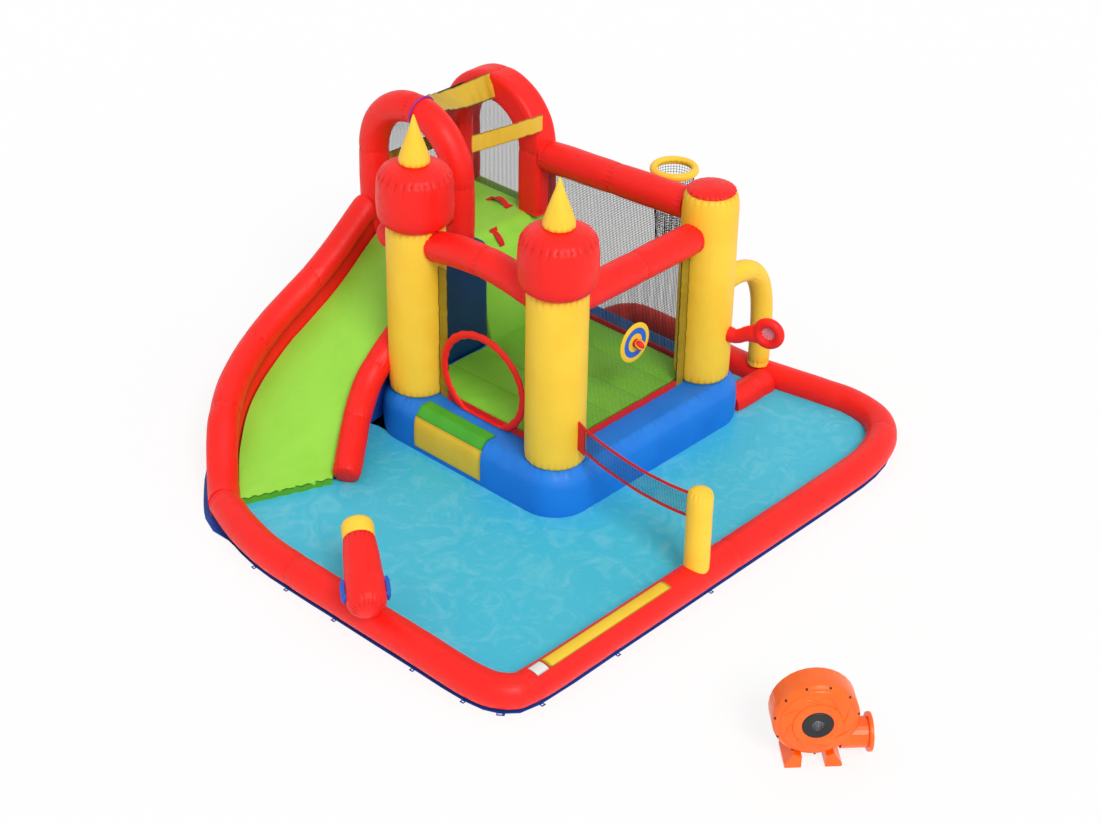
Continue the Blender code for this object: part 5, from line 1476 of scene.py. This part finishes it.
class SLIDE_OT_arches(PieceOperator):
    """Make both arches, the bands between them and the hose tie"""

    bl_idname = "slide.arches"
    bl_label = "Arches"

    def execute(self, context):
        depth = self.sizes.pucker
        line = arch_route(SLIDE_ARCH_X, SLIDE_AXIS, SLIDE_ARCH_RADIUS, SLIDE_SPRINGING,
                          SLIDE_ARCH_FOOT + GAP, SEAT)
        half_turn = pi * SLIDE_ARCH_RADIUS
        rise = SLIDE_SPRINGING - SLIDE_ARCH_FOOT
        seams = [0.02, rise, rise + half_turn / 2, rise + half_turn, rise + half_turn + 0.5]
        made = air_tube("slide_arch_tube", line, ARCH_TUBE, seams, up=(1, 0, 0), depth=depth,
                        step=0.024)
        fill(made, "red_vinyl", "slide_arch")
        foot = PLATFORM + GAP
        line = arch_route(CLIMB_ARCH_X, CLIMB_AXIS, CLIMB_RADIUS, CLIMB_SPRINGING, foot, foot)
        half_turn = pi * CLIMB_RADIUS
        rise = CLIMB_SPRINGING - foot
        seams = [0.02, rise, rise + half_turn / 2, rise + half_turn, rise * 2 + half_turn - 0.02]
        made = air_tube("climb_arch_tube", line, ARCH_TUBE, seams, up=(1, 0, 0), square=5.5,
                        depth=depth * 0.8, step=0.024)
        fill(made, "red_vinyl", "climb_arch")
        self.bands()
        self.hose_tie()
        return {"FINISHED"}

    def bands(self):
        """The cloth bands that are stretched between the two arches."""
        near, far = 0.67 + GAP, 1.31 - GAP
        for name, points, across_ends, sag in (
            ("crown_band", ((near, 1.75, 1.972), (0.98, 1.80, 1.93), (far, 1.83, 1.885)),
             ((0.03, 0.24, 0.01), (0.05, 0.10, 0.14)), 0.02),
            ("near_guard_band", ((near, 1.385, 1.812), (0.98, 1.39, 1.778), (1.30, 1.394, 1.748),
                                 (1.335, 1.392, 1.745)), ((0, 0, 0.12), (0, 0, 0.115)), 0.004),
            ("far_guard_band", ((near, 2.20, 1.42), (0.98, 2.21, 1.415), (far, 2.22, 1.42)),
             ((0, 0, 0.11), (0, 0, 0.11)), 0.004),
        ):
            line = curve_through(points, 20)
            across = []
            for i, point in enumerate(line):
                share = i / (len(line) - 1)
                point.z -= sag * sin(pi * share)
                across.append(Vector(across_ends[0]).lerp(Vector(across_ends[1]), share))
            made = ribbon(f"{name}_cloth", line, across, 0.006, 0.012, parts=14)
            finish = "mustard_band" if name == "crown_band" else "guard_cloth"
            dress(made, cloth(finish), ROOT, "mustard_band", name)

    def hose_tie(self):
        """A thin purple hose looped round the slide arch near its crown."""
        lean = radians(9.0)
        centre = Vector((SLIDE_ARCH_X, SLIDE_AXIS - SLIDE_ARCH_RADIUS * sin(lean),
                         SLIDE_SPRINGING + SLIDE_ARCH_RADIUS * cos(lean)))
        out = Vector((0, -sin(lean), cos(lean)))
        path = thick_curve("hose_tie_loop", HOSE_RADIUS, 3)
        loop = path.splines.new("POLY")
        loop.points.add(47)
        loop.use_cyclic_u = True
        for point, angle in zip(loop.points, turns(48)):
            spoke = out * cos(angle) + Vector((1, 0, 0)) * sin(angle)
            point.co = (*spot(*(centre + spoke * HOSE_LOOP)), 1.0)
        made = curve_mesh("hose_tie_loop", path)
        smooth(made)
        dress(made, woven_webbing("purple_hose", "A23BB5", "7A2A8C"), ROOT, "purple_hose",
              "hose_tie")


class SLIDE_OT_nets(PieceOperator):
    """Make the nets with their hems, the round doorway's ring and the yellow flaps"""

    bl_idname = "slide.nets"
    bl_label = "Nets"

    def execute(self, context):
        self.flat_nets()
        self.upper_side_net()
        self.doorway_ring()
        self.flaps()
        return {"FINISHED"}

    def flat_nets(self):
        """The five nets that hang in one plane, the castle's with a red hem."""
        mesh_look, red_tape = net_look(), red_tape_look()
        foot = CASTLE_FLOOR
        beam_foot = BEAM_HEIGHT - BEAM_RADIUS
        start, stop = TOWER_RADIUS + GAP, CASTLE_DEPTH - TOWER_RADIUS - 0.085

        def entry_top(u):
            share = (start + u) / CASTLE_DEPTH
            return beam_foot - 0.004 + BEAM_RISE * (1 - (2 * share - 1) ** 2)

        def doorway(u):
            across = (start + u - DOOR_Y) / DOOR_HALF_WIDTH
            if abs(across) >= 1:
                return None
            rise = DOOR_HALF_HEIGHT * sqrt(1 - across * across)
            return DOOR_Z - rise, DOOR_Z + rise

        nets = [("entry", (0.002, start, 0), (0, 1, 0), stop - start, lambda u: foot + 0.03,
                 entry_top, doorway, "entry_net")]
        front_stop = CASTLE_WIDTH - COLUMN_RADIUS - 0.085
        nets.append(("front", (start, -0.002, 0), (1, 0, 0), front_stop - start,
                     lambda u: foot + 0.03, lambda u: beam_foot, None, "front_net"))
        leg = CLIMB_AXIS - CLIMB_RADIUS - ARCH_TUBE
        back_start = COLUMN_RADIUS + GAP
        nets.append(("back", (CASTLE_WIDTH - 0.002, back_start, 0), (0, 1, 0), leg - back_start,
                     lambda u: foot + 0.03,
                     lambda u: 1.56 - BACK_BEAM_RADIUS - 0.08 * (back_start + u) / leg, None,
                     "back_net"))
        inner, half = 0.26, 0.2465

        def arch_top(u):
            return CLIMB_SPRINGING + sqrt(max(inner**2 - (u - half) ** 2, 0.0)) - 0.002

        nets.append(("climb_arch", (CLIMB_ARCH_X + 0.002, CLIMB_AXIS - half, 0), (0, 1, 0), 0.493,
                     lambda u: PLATFORM + 0.004, arch_top, None, "climb_arch_net"))
        nets.append(("side", (SIDE_NET_X, SIDE_NET_Y, 0), (1, 0, 0), SIDE_NET_WIDTH,
                     lambda u: PLATFORM + 0.004, lambda u: SIDE_NET_TOP, None, "side_net"))
        for name, origin, along, width, low, high, hole, node in nets:
            fine = name in ("entry", "front")
            thread = self.sizes.fine_strand if fine else self.sizes.strand
            made = fine_net(f"{name}_net_mesh", origin, along, width, low, high,
                            self.sizes.net_pitch, thread, hole)
            dress(made, mesh_look, ROOT, "net_mesh", node)
            if name in ("climb_arch", "side"):
                continue
            line = []
            for i in range(41):
                place = Vector(origin) + Vector(along) * width * i / 40
                line.append((place.x, place.y, foot + 0.023))
            hem = ribbon(f"{name}_net_hem", line, [(0, 0, 0.044)] * 41, 0.012, 0.006)
            dress(hem, red_tape, ROOT, "red_webbing")

    def upper_side_net(self):
        """The far side's net where it runs on up between the arches, along their crowns."""
        climb = [(SIDE_NET_Y, SIDE_NET_TOP), (SIDE_NET_Y, SLIDE_SPRINGING)]
        climb += [(1.798 + SLIDE_ARCH_RADIUS * cos(radians(a)),
                   SLIDE_SPRINGING + SLIDE_ARCH_RADIUS * sin(radians(a)))
                  for a in range(6, 43, 6)]
        bars = []
        for i in range(52):
            x = SIDE_NET_X + SIDE_NET_WIDTH * i / 51
            bars += [(spot(x, *a), spot(x, *b)) for a, b in zip(climb, climb[1:])]
        path = [Vector(p).to_3d() for p in climb]
        total = reaches(path)
        pitch = self.sizes.net_pitch
        for j in range(int(total[-1] / pitch) + 1):
            y, z, _ = at_reach(path, total, pitch * j)
            bars.append((spot(SIDE_NET_X, y - 0.002, z), spot(1.3096, y - 0.002, z)))
        made = strand_grid("upper_side_net_mesh", bars, self.sizes.strand)
        dress(made, net_look(), ROOT, "net_mesh")

    def doorway_ring(self):
        """The padded red trim round the round doorway."""
        rings = []
        for angle in turns(96):
            ring = []
            for turn in turns(16):
                out = 0.008 + (0.0265 + 0.003 * cos(23 * angle + 1.0)) * cos(turn)
                y = DOOR_Y + (DOOR_HALF_WIDTH + out) * cos(angle)
                z = max(DOOR_Z + (DOOR_HALF_HEIGHT + out) * sin(angle),
                        CASTLE_FLOOR + 0.012 + 0.004 * sin(turn))
                wave = 0.0015 * cos(30 * angle)
                ring.append(spot(-0.013 + (0.0135 + wave) * sin(turn), y, z))
            rings.append(ring)
        made = smooth_skin("doorway_trim", rings, wrap=True)
        dress(made, cloth("red_vinyl"), ROOT, "red_webbing", "doorway_ring")

    def flaps(self):
        """The yellow flaps beside the entry and the front net."""
        foot, high = CASTLE_FLOOR, BEAM_HEIGHT - BEAM_RADIUS - 0.015
        for name, node, place, across in (
            ("entry", "entry_flap", (0.004, CASTLE_DEPTH - TOWER_RADIUS - 0.044),
             (0, FLAP_WIDTH, 0)),
            ("front", "front_flap", (CASTLE_WIDTH - COLUMN_RADIUS - 0.044, -0.004),
             (FLAP_WIDTH, 0, 0)),
        ):
            line = [(*place, foot + (high - foot) * i / 60) for i in range(61)]
            made = ribbon(f"{name}_flap_cloth", line, [across] * 61, 0.004, 0.006, parts=8)
            dress(made, cloth("flap_cloth"), ROOT, "yellow_vinyl", node)


class SLIDE_OT_target(PieceOperator):
    """Make the ringed target on the front net and its ball"""

    bl_idname = "slide.target"
    bl_label = "Target"

    def execute(self, context):
        low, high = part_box("target_disc")
        centre = (low + high) / 2
        rings = []
        for radius, y in ((0.0004, low.y + 0.002), (0.128, low.y + 0.002), (0.135, low.y + 0.006),
                          (0.135, high.y - 0.003), (0.13, high.y), (0.0004, high.y)):
            parts = 6 if abs(radius - 0.128) < 0.001 else 1
            previous = rings[-1][0] if rings else radius
            for part in range(1, parts + 1):
                rings.append((previous + (radius - previous) * part / parts, y))
        skin = []
        for radius, y in rings:
            skin.append([Vector((centre.x + radius * cos(a), y, centre.z + radius * sin(a)))
                         for a in turns(96)])
        made = smooth_skin("target_face", skin)
        look = ringed_target("dyed_loop_cloth", centre, (0, 1, 0), (0.028, 0.062, 0.102, 0.14),
                             ("E3262B", "F6C92C", "1F63C8", "F6C92C"))
        dress(made, look, ROOT, "target_face", "target_disc")
        low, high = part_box("target_ball")
        centre = (low + high) / 2
        bpy.ops.object.select_all(action="DESELECT")
        bpy.ops.mesh.primitive_uv_sphere_add(segments=48, ring_count=24, radius=0.0345,
                                             location=centre)
        ball = bpy.context.view_layer.objects.active
        ball.name = "hook_ball"
        bpy.ops.object.transform_apply(location=True)
        smooth(ball)
        ball.data.attributes.new("seam", "FLOAT", "POINT")
        dress(ball, taped_ball("ball_cloth", centre), ROOT, "red_webbing", "target_ball")
        return {"FINISHED"}


class SLIDE_OT_side_play(PieceOperator):
    """Make the side arch, the toss ring, the ball hoop and the post with its low net"""

    bl_idname = "slide.side_play"
    bl_label = "Side play pieces"

    def execute(self, context):
        depth = self.sizes.pucker
        start_x, foot_z = CASTLE_WIDTH + COLUMN_RADIUS * 0.93, 0.19
        high, leg = 0.992, POOL_CORNER - 0.018
        span, drop = leg - (CASTLE_WIDTH + COLUMN_RADIUS / 2), high - 0.1986
        first = CASTLE_WIDTH + COLUMN_RADIUS / 2
        points = [(start_x, 0, high + 0.001), (first + span * 0.45, 0, high + drop * 0.01),
                  (first + span * 0.74, 0, high - drop * 0.06),
                  (first + span * 0.92, 0, high - drop * 0.24),
                  (leg, 0, high - drop * 0.55), (leg, 0, foot_z)]
        line = curve_through(points, 10)
        length = reaches(line)[-1]
        seams = [0.015, 0.30, length - 0.03]
        made = air_tube("side_arch_tube", line, 0.072, seams, up=(0, 1, 0), depth=depth * 1.2,
                        step=0.016, count=16, sides=56)
        fill(made, "yellow_vinyl", "side_arch")
        self.toss_ring(depth)
        self.hoop(depth)
        self.volley(depth)
        return {"FINISHED"}

    def ring_tube(self, name, centre, axis_a, axis_b, major, minor, depth=0.004, count=14):
        """An air-filled ring with puckers on its inner seam."""
        face = axis_a.cross(axis_b)
        rings = []
        marks = []
        for angle in turns(96):
            spoke = axis_a * cos(angle) + axis_b * sin(angle)
            ring = []
            for k, turn in enumerate(turns(32)):
                inward = max(0.0, -cos(turn)) ** 4
                size = minor - depth * inward * (0.5 + 0.5 * cos(count * angle))
                ring.append(spot(*(centre + spoke * (major + size * cos(turn))
                                   + face * size * sin(turn))))
                marks.append(1.0 if k == 16 else 0.0)
            rings.append(ring)
        return smooth_skin(name, rings, marks, wrap=True)

    def toss_ring(self, depth):
        turn = radians(15.5)
        heading = Vector((sin(turn), -cos(turn), 0))
        root = Vector((CASTLE_WIDTH, 0, 0.72))
        lift = Vector((0, 0, 0.08))
        centre = root + heading * (COLUMN_RADIUS + 0.27) + lift
        end = centre - (heading * 0.94 + Vector((0, 0, 0.28))) * 0.085
        line = curve_through([root + heading * COLUMN_RADIUS * 0.95,
                              root + heading * COLUMN_RADIUS * 1.3,
                              (root + heading * COLUMN_RADIUS * 1.3 + end) / 2 + lift * 0.1, end],
                             8)
        face = heading.cross(Vector((0, 0, 1)))
        total = reaches(line)
        halves = ((0.0, 0.058, 0.050), (0.08, 0.054, 0.046), (0.3, 0.047, 0.041),
                  (0.55, 0.048, 0.038), (0.8, 0.058, 0.034), (1.0, 0.070, 0.027))
        rings = []
        for i in range(41):
            share = i / 40
            here = at_reach(line, total, total[-1] * share)
            ahead = at_reach(line, total, total[-1] * share + 0.01) - at_reach(
                line, total, total[-1] * share - 0.01)
            across = face.cross(ahead).normalized()
            low, high = next((a, b) for a, b in zip(halves, halves[1:]) if share <= b[0])
            part = (share - low[0]) / (high[0] - low[0])
            tall, thick = (low[n] + (high[n] - low[n]) * part for n in (1, 2))
            ring = []
            for angle in turns(40):
                drawn = pucker(total[-1] * share, angle, 12, depth * 0.6, 0.02)
                ring.append(spot(*(here + across * (tall - drawn) * cos(angle)
                                   + face * (thick - drawn) * sin(angle))))
            rings.append(ring)
        neck = smooth_skin("toss_neck", rings)
        fill(neck, "red_vinyl", "toss_ring")
        made = self.ring_tube("toss_ring_tube", centre, heading, Vector((0, 0, 1)), 0.075, 0.033)
        fill(made, "red_vinyl", "toss_ring")
        rings = []
        for side in (1, -1):
            radii = [0.046, 0.03, 0.015, 0.0005] if side < 0 else [0.0005, 0.015, 0.03, 0.046]
            for radius in radii:
                ring = []
                for angle in turns(48):
                    spoke = heading * cos(angle) + Vector((0, 0, 1)) * sin(angle)
                    bulge = 0.004 + 0.003 * cos(12 * angle) * radius / 0.046
                    ring.append(spot(*(centre + spoke * radius + face * bulge * side)))
                rings.append(ring)
        web = smooth_skin("toss_web_cloth", rings)
        dress(web, cloth("pink_web"), ROOT, "pink_web", "toss_web")

    def hoop(self, depth):
        low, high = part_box("basket_hoop")
        centre = (low + high) / 2 - ORIGIN
        made = self.ring_tube("hoop_tube", centre, Vector((1, 0, 0)), Vector((0, 1, 0)), 0.135,
                              0.026, depth * 0.5, 20)
        fill(made, "yellow_vinyl", "basket_hoop")
        self.hoop_net(centre, low.z - GAP)

    def hoop_net(self, centre, top):
        """The narrowing net below the hoop, with its hem."""
        bars = []
        columns, rows = 44, 30

        def knot(k, j):
            radius, angle = 0.133 - 0.035 * j / rows, 2 * pi * k / columns
            return spot(centre.x + radius * cos(angle), centre.y + radius * sin(angle),
                        top - 0.55 * j / rows)

        for j in range(rows + 1):
            for k in range(columns):
                bars.append((knot(k, j), knot(k + 1, j)))
                if j < rows:
                    bars.append((knot(k, j), knot(k, j + 1)))
        net = strand_grid("chute_net_mesh", bars, self.sizes.strand * 0.8)
        dress(net, net_look(), ROOT, "net_mesh", "basket_net")
        hem = []
        for i in range(65):
            angle = 2 * pi * i / 64
            hem.append((centre.x + 0.1 * cos(angle), centre.y + 0.1 * sin(angle), top - 0.53))
        piece = ribbon("chute_hem", hem, [(0, 0, 0.035)] * 65, 0.004)
        dress(piece, cloth("mustard_band"), ROOT, "mustard_band")

    def volley(self, depth):
        r, top = POST_RADIUS, 0.725
        profile = [(0.0, POOL_CENTRE + 0.06), (r, POOL_CENTRE + 0.06), (r, top - 0.06),
                   (r - 0.003, top - 0.03), (r - 0.009, top - 0.018), (r - 0.024, top - 0.008),
                   (0.03, top - 0.001), (0.0, top)]
        made = turned_skin("post_skin", profile, (POST_X, -POOL_FRONT, 0),
                           [(r - 0.009, top - 0.018)], count=16, depth=depth, reach=0.02,
                           steps=88, step=0.01)
        fill(made, "yellow_vinyl", "volley_post")
        start = Vector((0, -TOWER_RADIUS - GAP, 0))
        end = Vector((POST_X, -POOL_FRONT + POST_RADIUS + GAP, 0))
        along = end - start
        width = along.length

        def upper(u):
            share = u / width
            return 0.708 - 0.04 * share - 0.05 * 4 * share * (1 - share)

        def lower(u):
            return upper(u) - 0.178

        net = fine_net("volley_net_mesh", start, along, width, lower, upper,
                       self.sizes.net_pitch, self.sizes.fine_strand * 1.8)
        dress(net, net_look(), ROOT, "net_mesh", "volley_net")
        tape = red_tape_look()
        for name, height in (("upper", lambda u: upper(u) - 0.009),
                             ("lower", lambda u: lower(u) + 0.009)):
            line = []
            for i in range(41):
                place = start + along * i / 40
                line.append((place.x, place.y, height(width * i / 40)))
            hem = ribbon(f"volley_{name}_tape", line, [(0, 0, 0.02)] * 41, 0.006, 0.002)
            dress(hem, tape, ROOT, "red_webbing")
        line = [(0.0, -TOWER_RADIUS - 0.002 - 0.052 * i / 8, 0.618 - 0.003 * i) for i in range(9)]
        patch = ribbon("volley_net_tab", line, [(0, 0, 0.20)] * 9, 0.012)
        dress(patch, tape, ROOT, "red_webbing")


class SLIDE_OT_cannon(PieceOperator):
    """Make the water cannon's neck, barrel, nozzle and side handles"""

    bl_idname = "slide.cannon"
    bl_label = "Water cannon"

    def execute(self, context):
        depth = self.sizes.pucker
        tube_top = POOL_CENTRE + POOL_RADIUS
        seat = tube_top + 0.06
        neck = [(0.0, tube_top - 0.03), (0.07, tube_top - 0.03), (0.068, tube_top + 0.008),
                (0.061, tube_top + 0.028), (0.067, tube_top + 0.05), (0.065, seat - 0.0005),
                (0.0, seat - 0.0002)]
        made = turned_skin("cannon_neck_skin", neck, (*CANNON_PLACE, 0),
                           [(0.061, tube_top + 0.028)], count=14, depth=depth * 0.7, reach=0.02,
                           steps=72, step=0.008)
        fill(made, "red_vinyl", "cannon_neck")

        tilt, heading = radians(20.0), radians(53.0)
        ahead = Vector((cos(heading) * cos(tilt), sin(heading) * cos(tilt), sin(tilt)))
        middle = Vector((*CANNON_PLACE, seat + 0.116 / cos(tilt)))
        turn = ahead.to_track_quat("Z", "Y").to_matrix().to_4x4()
        barrel = [(0.0, -0.272), (0.03, -0.2705), (0.060, -0.263), (0.086, -0.249),
                  (0.104, -0.228), (0.1145, -0.20), (BARREL_RADIUS, -0.166), (0.117, -0.06),
                  (0.112, 0.0), (0.105, 0.13), (0.098, 0.235), (0.0955, 0.242), (0.093, 0.245),
                  (0.0, 0.245)]
        made = turned_skin("barrel_skin", barrel, middle, [(0.086, -0.249), (0.098, 0.235)],
                           count=20, depth=depth * 1.2, reach=0.034, steps=140, step=0.008,
                           turn=turn)
        self.flatten_seat(made, seat + GAP)
        fill(made, "red_vinyl", "cannon_barrel", body="water_cannon")
        nozzle = [(0.0, 0.2753), (0.068, 0.2753), (0.069, 0.28), (0.0695, 0.345), (0.073, 0.353),
                  (0.08, 0.3563), (0.088, 0.353), (0.0955, 0.336), (0.097, 0.305),
                  (0.0955, 0.262), (0.093, 0.2454), (0.0, 0.2454)]
        made = turned_skin("nozzle_skin", nozzle, middle, [(0.08, 0.3563)], count=18,
                           depth=depth * 0.5, reach=0.012, steps=112, step=0.006, turn=turn)
        fill(made, "yellow_vinyl", "cannon_nozzle", body="water_cannon")
        right = ahead.cross(Vector((0, 0, 1))).normalized()
        up = right.cross(ahead)
        tape = woven_webbing("blue_webbing", "1E6CDC", "0F48A8")
        for name, side in (("right", 1), ("left", -1)):
            line = []
            for i in range(25):
                share = i / 24
                bow = min(1.0, sin(pi * share) * 1.6)
                place = (middle - ahead * 0.108 + ahead * 0.13 * (share - 0.5)
                         + right * side * (BARREL_RADIUS + 0.012 * bow))
                line.append(place)
            strap = ribbon(f"{name}_handle_strap", line, [up * 0.05] * 25, 0.024)
            dress(strap, tape, "water_cannon", "blue_vinyl")
        return {"FINISHED"}

    def flatten_seat(self, made, height):
        """Press the barrel flat where it sits on the neck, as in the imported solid."""
        centre = spot(*CANNON_PLACE)
        for vertex in made.data.vertices:
            away = (vertex.co.xy - centre.xy).length
            if away < 0.072 and vertex.co.z < height:
                vertex.co.z = height


class SLIDE_OT_blower(PieceOperator):
    """Make the blower's turned front with its ribs and screws, and finish its other parts"""

    bl_idname = "slide.blower"
    bl_label = "Blower"

    def execute(self, context):
        orange = moulded_plastic("orange_plastic", context.scene.slide_colours.orange, "F24C02",
                                 0.30)
        black = moulded_plastic("black_plastic", "17181B", "0C0D0F", 0.45)
        red = moulded_plastic("red_plastic", "D8281E", "A81812", 0.32)
        steel = zinc_plated_steel("zinc_steel")
        finishes = {
            "blower_rear_shell": orange, "outlet_duct": orange, "outlet_grille": black,
            "intake_grille": black, "impeller": black, "motor_housing": black,
            "motor_shaft": steel, "switch_rocker": red,
        }
        for node, finish in finishes.items():
            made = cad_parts[node]
            made.data.materials.clear()
            made.data.materials.append(finish)
        self.front_shell(orange)
        self.screws(black)
        self.intake_ring(black)
        self.flange(orange)
        return {"FINISHED"}

    def spun(self, name, profile, steps=128):
        """A (radius, depth) profile turned about the fan's axis; depth is towards the front."""
        rings = []
        for radius, front in profile:
            size = max(radius, 0.0004)
            rings.append([blower_spot(size * cos(a), -front, FAN_HEIGHT + size * sin(a))
                          for a in turns(steps)])
        made = body_mesh(name, rings, wrap=True)
        smooth(made, 32.0)
        return made

    def front_shell(self, orange):
        outer = 0.235
        profile = [(outer, 0.0003), (outer, 0.058), (outer - 0.002, 0.064), (outer - 0.007, 0.069),
                   (0.2185, 0.0815), (0.214, 0.083), (0.204, 0.084), (0.2015, 0.086),
                   (0.1965, 0.0952), (0.193, 0.0966), (0.139, 0.1032), (0.136, 0.1035),
                   (0.131, 0.1135), (0.128, 0.1148), (0.088, 0.115), (0.0855, 0.1135),
                   (0.085, 0.111), (0.124, 0.111), (0.131, 0.0995), (0.19, 0.092),
                   (0.197, 0.081), (0.214, 0.079), (0.231, 0.063), (0.231, 0.0003)]
        shell = self.spun("front_shell_moulding", profile)
        ribs = []
        for i, start in enumerate(turns(8)):
            rings = []
            for j in range(15):
                share = j / 14
                radius = 0.139 + (0.190 - 0.139) * share
                angle = start + share * 0.55
                face = 0.1032 - 0.0066 * share
                tall = 0.006 * sin(pi * min(1.0, 0.12 + share * 0.88)) ** 0.5
                ring = []
                slant = angle + 0.5
                for turn in turns(12):
                    across = 0.0062 * cos(turn)
                    ring.append(blower_spot(
                        radius * cos(angle) - across * sin(slant), -(face + tall * sin(turn)),
                        FAN_HEIGHT + radius * sin(angle) + across * cos(slant)))
                rings.append(ring)
            ribs.append(body_mesh(f"rib_{i}", rings))
        ribs = joined("front_shell_ribs", ribs, 50.0)
        dress(ribs, orange, ROOT, "orange_plastic")
        dress(shell, orange, ROOT, "orange_plastic", "blower_front_shell")

    def screws(self, black):
        """Dark cross-head screws round the rim, in their bosses."""
        made = []
        for i in range(11):
            angle = 2 * pi * (i + 0.3) / 11
            x, z = SCREW_CIRCLE * cos(angle), FAN_HEIGHT + SCREW_CIRCLE * sin(angle)
            if x > 0.08 and z < 0.24:
                continue
            rings = []
            for radius, front in ((0.0062, 0.070), (0.0062, 0.0775), (0.0052, 0.0795),
                                  (0.003, 0.080), (0.0026, 0.0775), (0.0004, 0.0772)):
                rings.append([blower_spot(x + radius * cos(a), -front, z + radius * sin(a))
                              for a in turns(20)])
            made.append(body_mesh(f"rim_screw_{i}", rings))
        dress(joined("rim_screws", made, 30.0), black, ROOT, "black_plastic")

    def intake_ring(self, black):
        profile = [(0.082, 0.1152), (0.079, 0.1175), (0.036, 0.1168), (0.033, 0.1152)]
        ring = self.spun("intake_plate_ring", profile, 96)
        dress(ring, black, ROOT, "black_plastic")
        bars = []
        opening, pitch = 0.033, 0.0075
        for i in range(-4, 5):
            away = i * pitch
            reach = sqrt(max(opening**2 - away ** 2, 0.0))
            for ends in (((-reach, away), (reach, away)), ((away, -reach), (away, reach))):
                bars.append(tuple(blower_spot(x, -0.1162, FAN_HEIGHT + z) for x, z in ends))
        mesh = strand_grid("intake_mesh", bars, 0.0022)
        dress(mesh, zinc_plated_steel("zinc_steel"), ROOT, "black_plastic")

    def flange(self, orange):
        """A rounded rim round the outlet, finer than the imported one."""
        rings = []
        for radius, x in ((0.0815, 0.2935), (0.106, 0.2935), (0.1085, 0.299), (0.1085, 0.309),
                          (0.106, 0.3135), (0.098, 0.3148), (0.0865, 0.3148), (0.0815, 0.3125)):
            rings.append([blower_spot(x, radius * cos(a), DUCT_HEIGHT + radius * sin(a))
                          for a in turns(80)])
        made = body_mesh("outlet_rim", rings, wrap=True)
        smooth(made, 40.0)
        dress(made, orange, ROOT, "orange_plastic")


class SLIDE_OT_wall_strip(PieceOperator):
    """Make the bare yellow strip along the front wall and its small white end"""

    bl_idname = "slide.wall_strip"
    bl_label = "Wall strip"

    def execute(self, context):
        for name, key, x0, x1 in (("front_wall_strip", "patch_yellow", -1.36, -0.33),
                                  ("front_wall_strip_end", "bare_white", -1.46, -1.37)):
            rings = []
            marks = []
            for i in range(41):
                x = x0 + (x1 - x0) * i / 40
                ring = []
                for out in (1, 0):
                    for k in range(9):
                        share = k / 8 if out else 1 - k / 8
                        angle = radians(72.0 + 46.0 * share)
                        size = POOL_RADIUS + 0.0035 + 0.0022 * out
                        y = -POOL_FRONT + size * cos(angle)
                        ring.append(spot(x, y, POOL_CENTRE + size * sin(angle)))
                        marks.append(1.0 if k in (0, 8) or i in (0, 40) else 0.0)
                rings.append(ring)
            made = smooth_skin(name, rings, marks)
            dress(made, cloth(key), ROOT, "yellow_vinyl")
        return {"FINISHED"}


ORDER = (
    SLIDE_OT_camera_and_stage, SLIDE_OT_pool, SLIDE_OT_base, SLIDE_OT_towers, SLIDE_OT_beams,
    SLIDE_OT_chute, SLIDE_OT_platform, SLIDE_OT_arches, SLIDE_OT_nets, SLIDE_OT_target,
    SLIDE_OT_side_play, SLIDE_OT_cannon, SLIDE_OT_blower, SLIDE_OT_wall_strip,
)


class SLIDE_PT_pieces(bpy.types.Panel):
    """The slide's operators, colours and sizes"""

    bl_idname = "SLIDE_PT_pieces"
    bl_label = "Inflatable slide"
    bl_space_type = "VIEW_3D"
    bl_region_type = "UI"
    bl_category = "Slide"

    def draw(self, context):
        layout = self.layout
        for operator in ORDER:
            layout.operator(operator.bl_idname)
        for group in (context.scene.slide_colours, context.scene.slide_sizes):
            for key in group.__annotations__:
                layout.prop(group, key)


def register():
    for kind in (SlideColours, SlideSizes, *ORDER, SLIDE_PT_pieces):
        bpy.utils.register_class(kind)
    bpy.types.Scene.slide_colours = bpy.props.PointerProperty(type=SlideColours)
    bpy.types.Scene.slide_sizes = bpy.props.PointerProperty(type=SlideSizes)


def unregister():
    del bpy.types.Scene.slide_colours
    del bpy.types.Scene.slide_sizes
    for kind in reversed((SlideColours, SlideSizes, *ORDER, SLIDE_PT_pieces)):
        bpy.utils.unregister_class(kind)


def main():
    register()
    bpy.ops.object.select_all(action="DESELECT")
    for operator in ORDER:
        group, name = operator.bl_idname.split(".")
        getattr(getattr(bpy.ops, group), name)()
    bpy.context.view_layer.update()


if __name__ == "__main__":
    main()
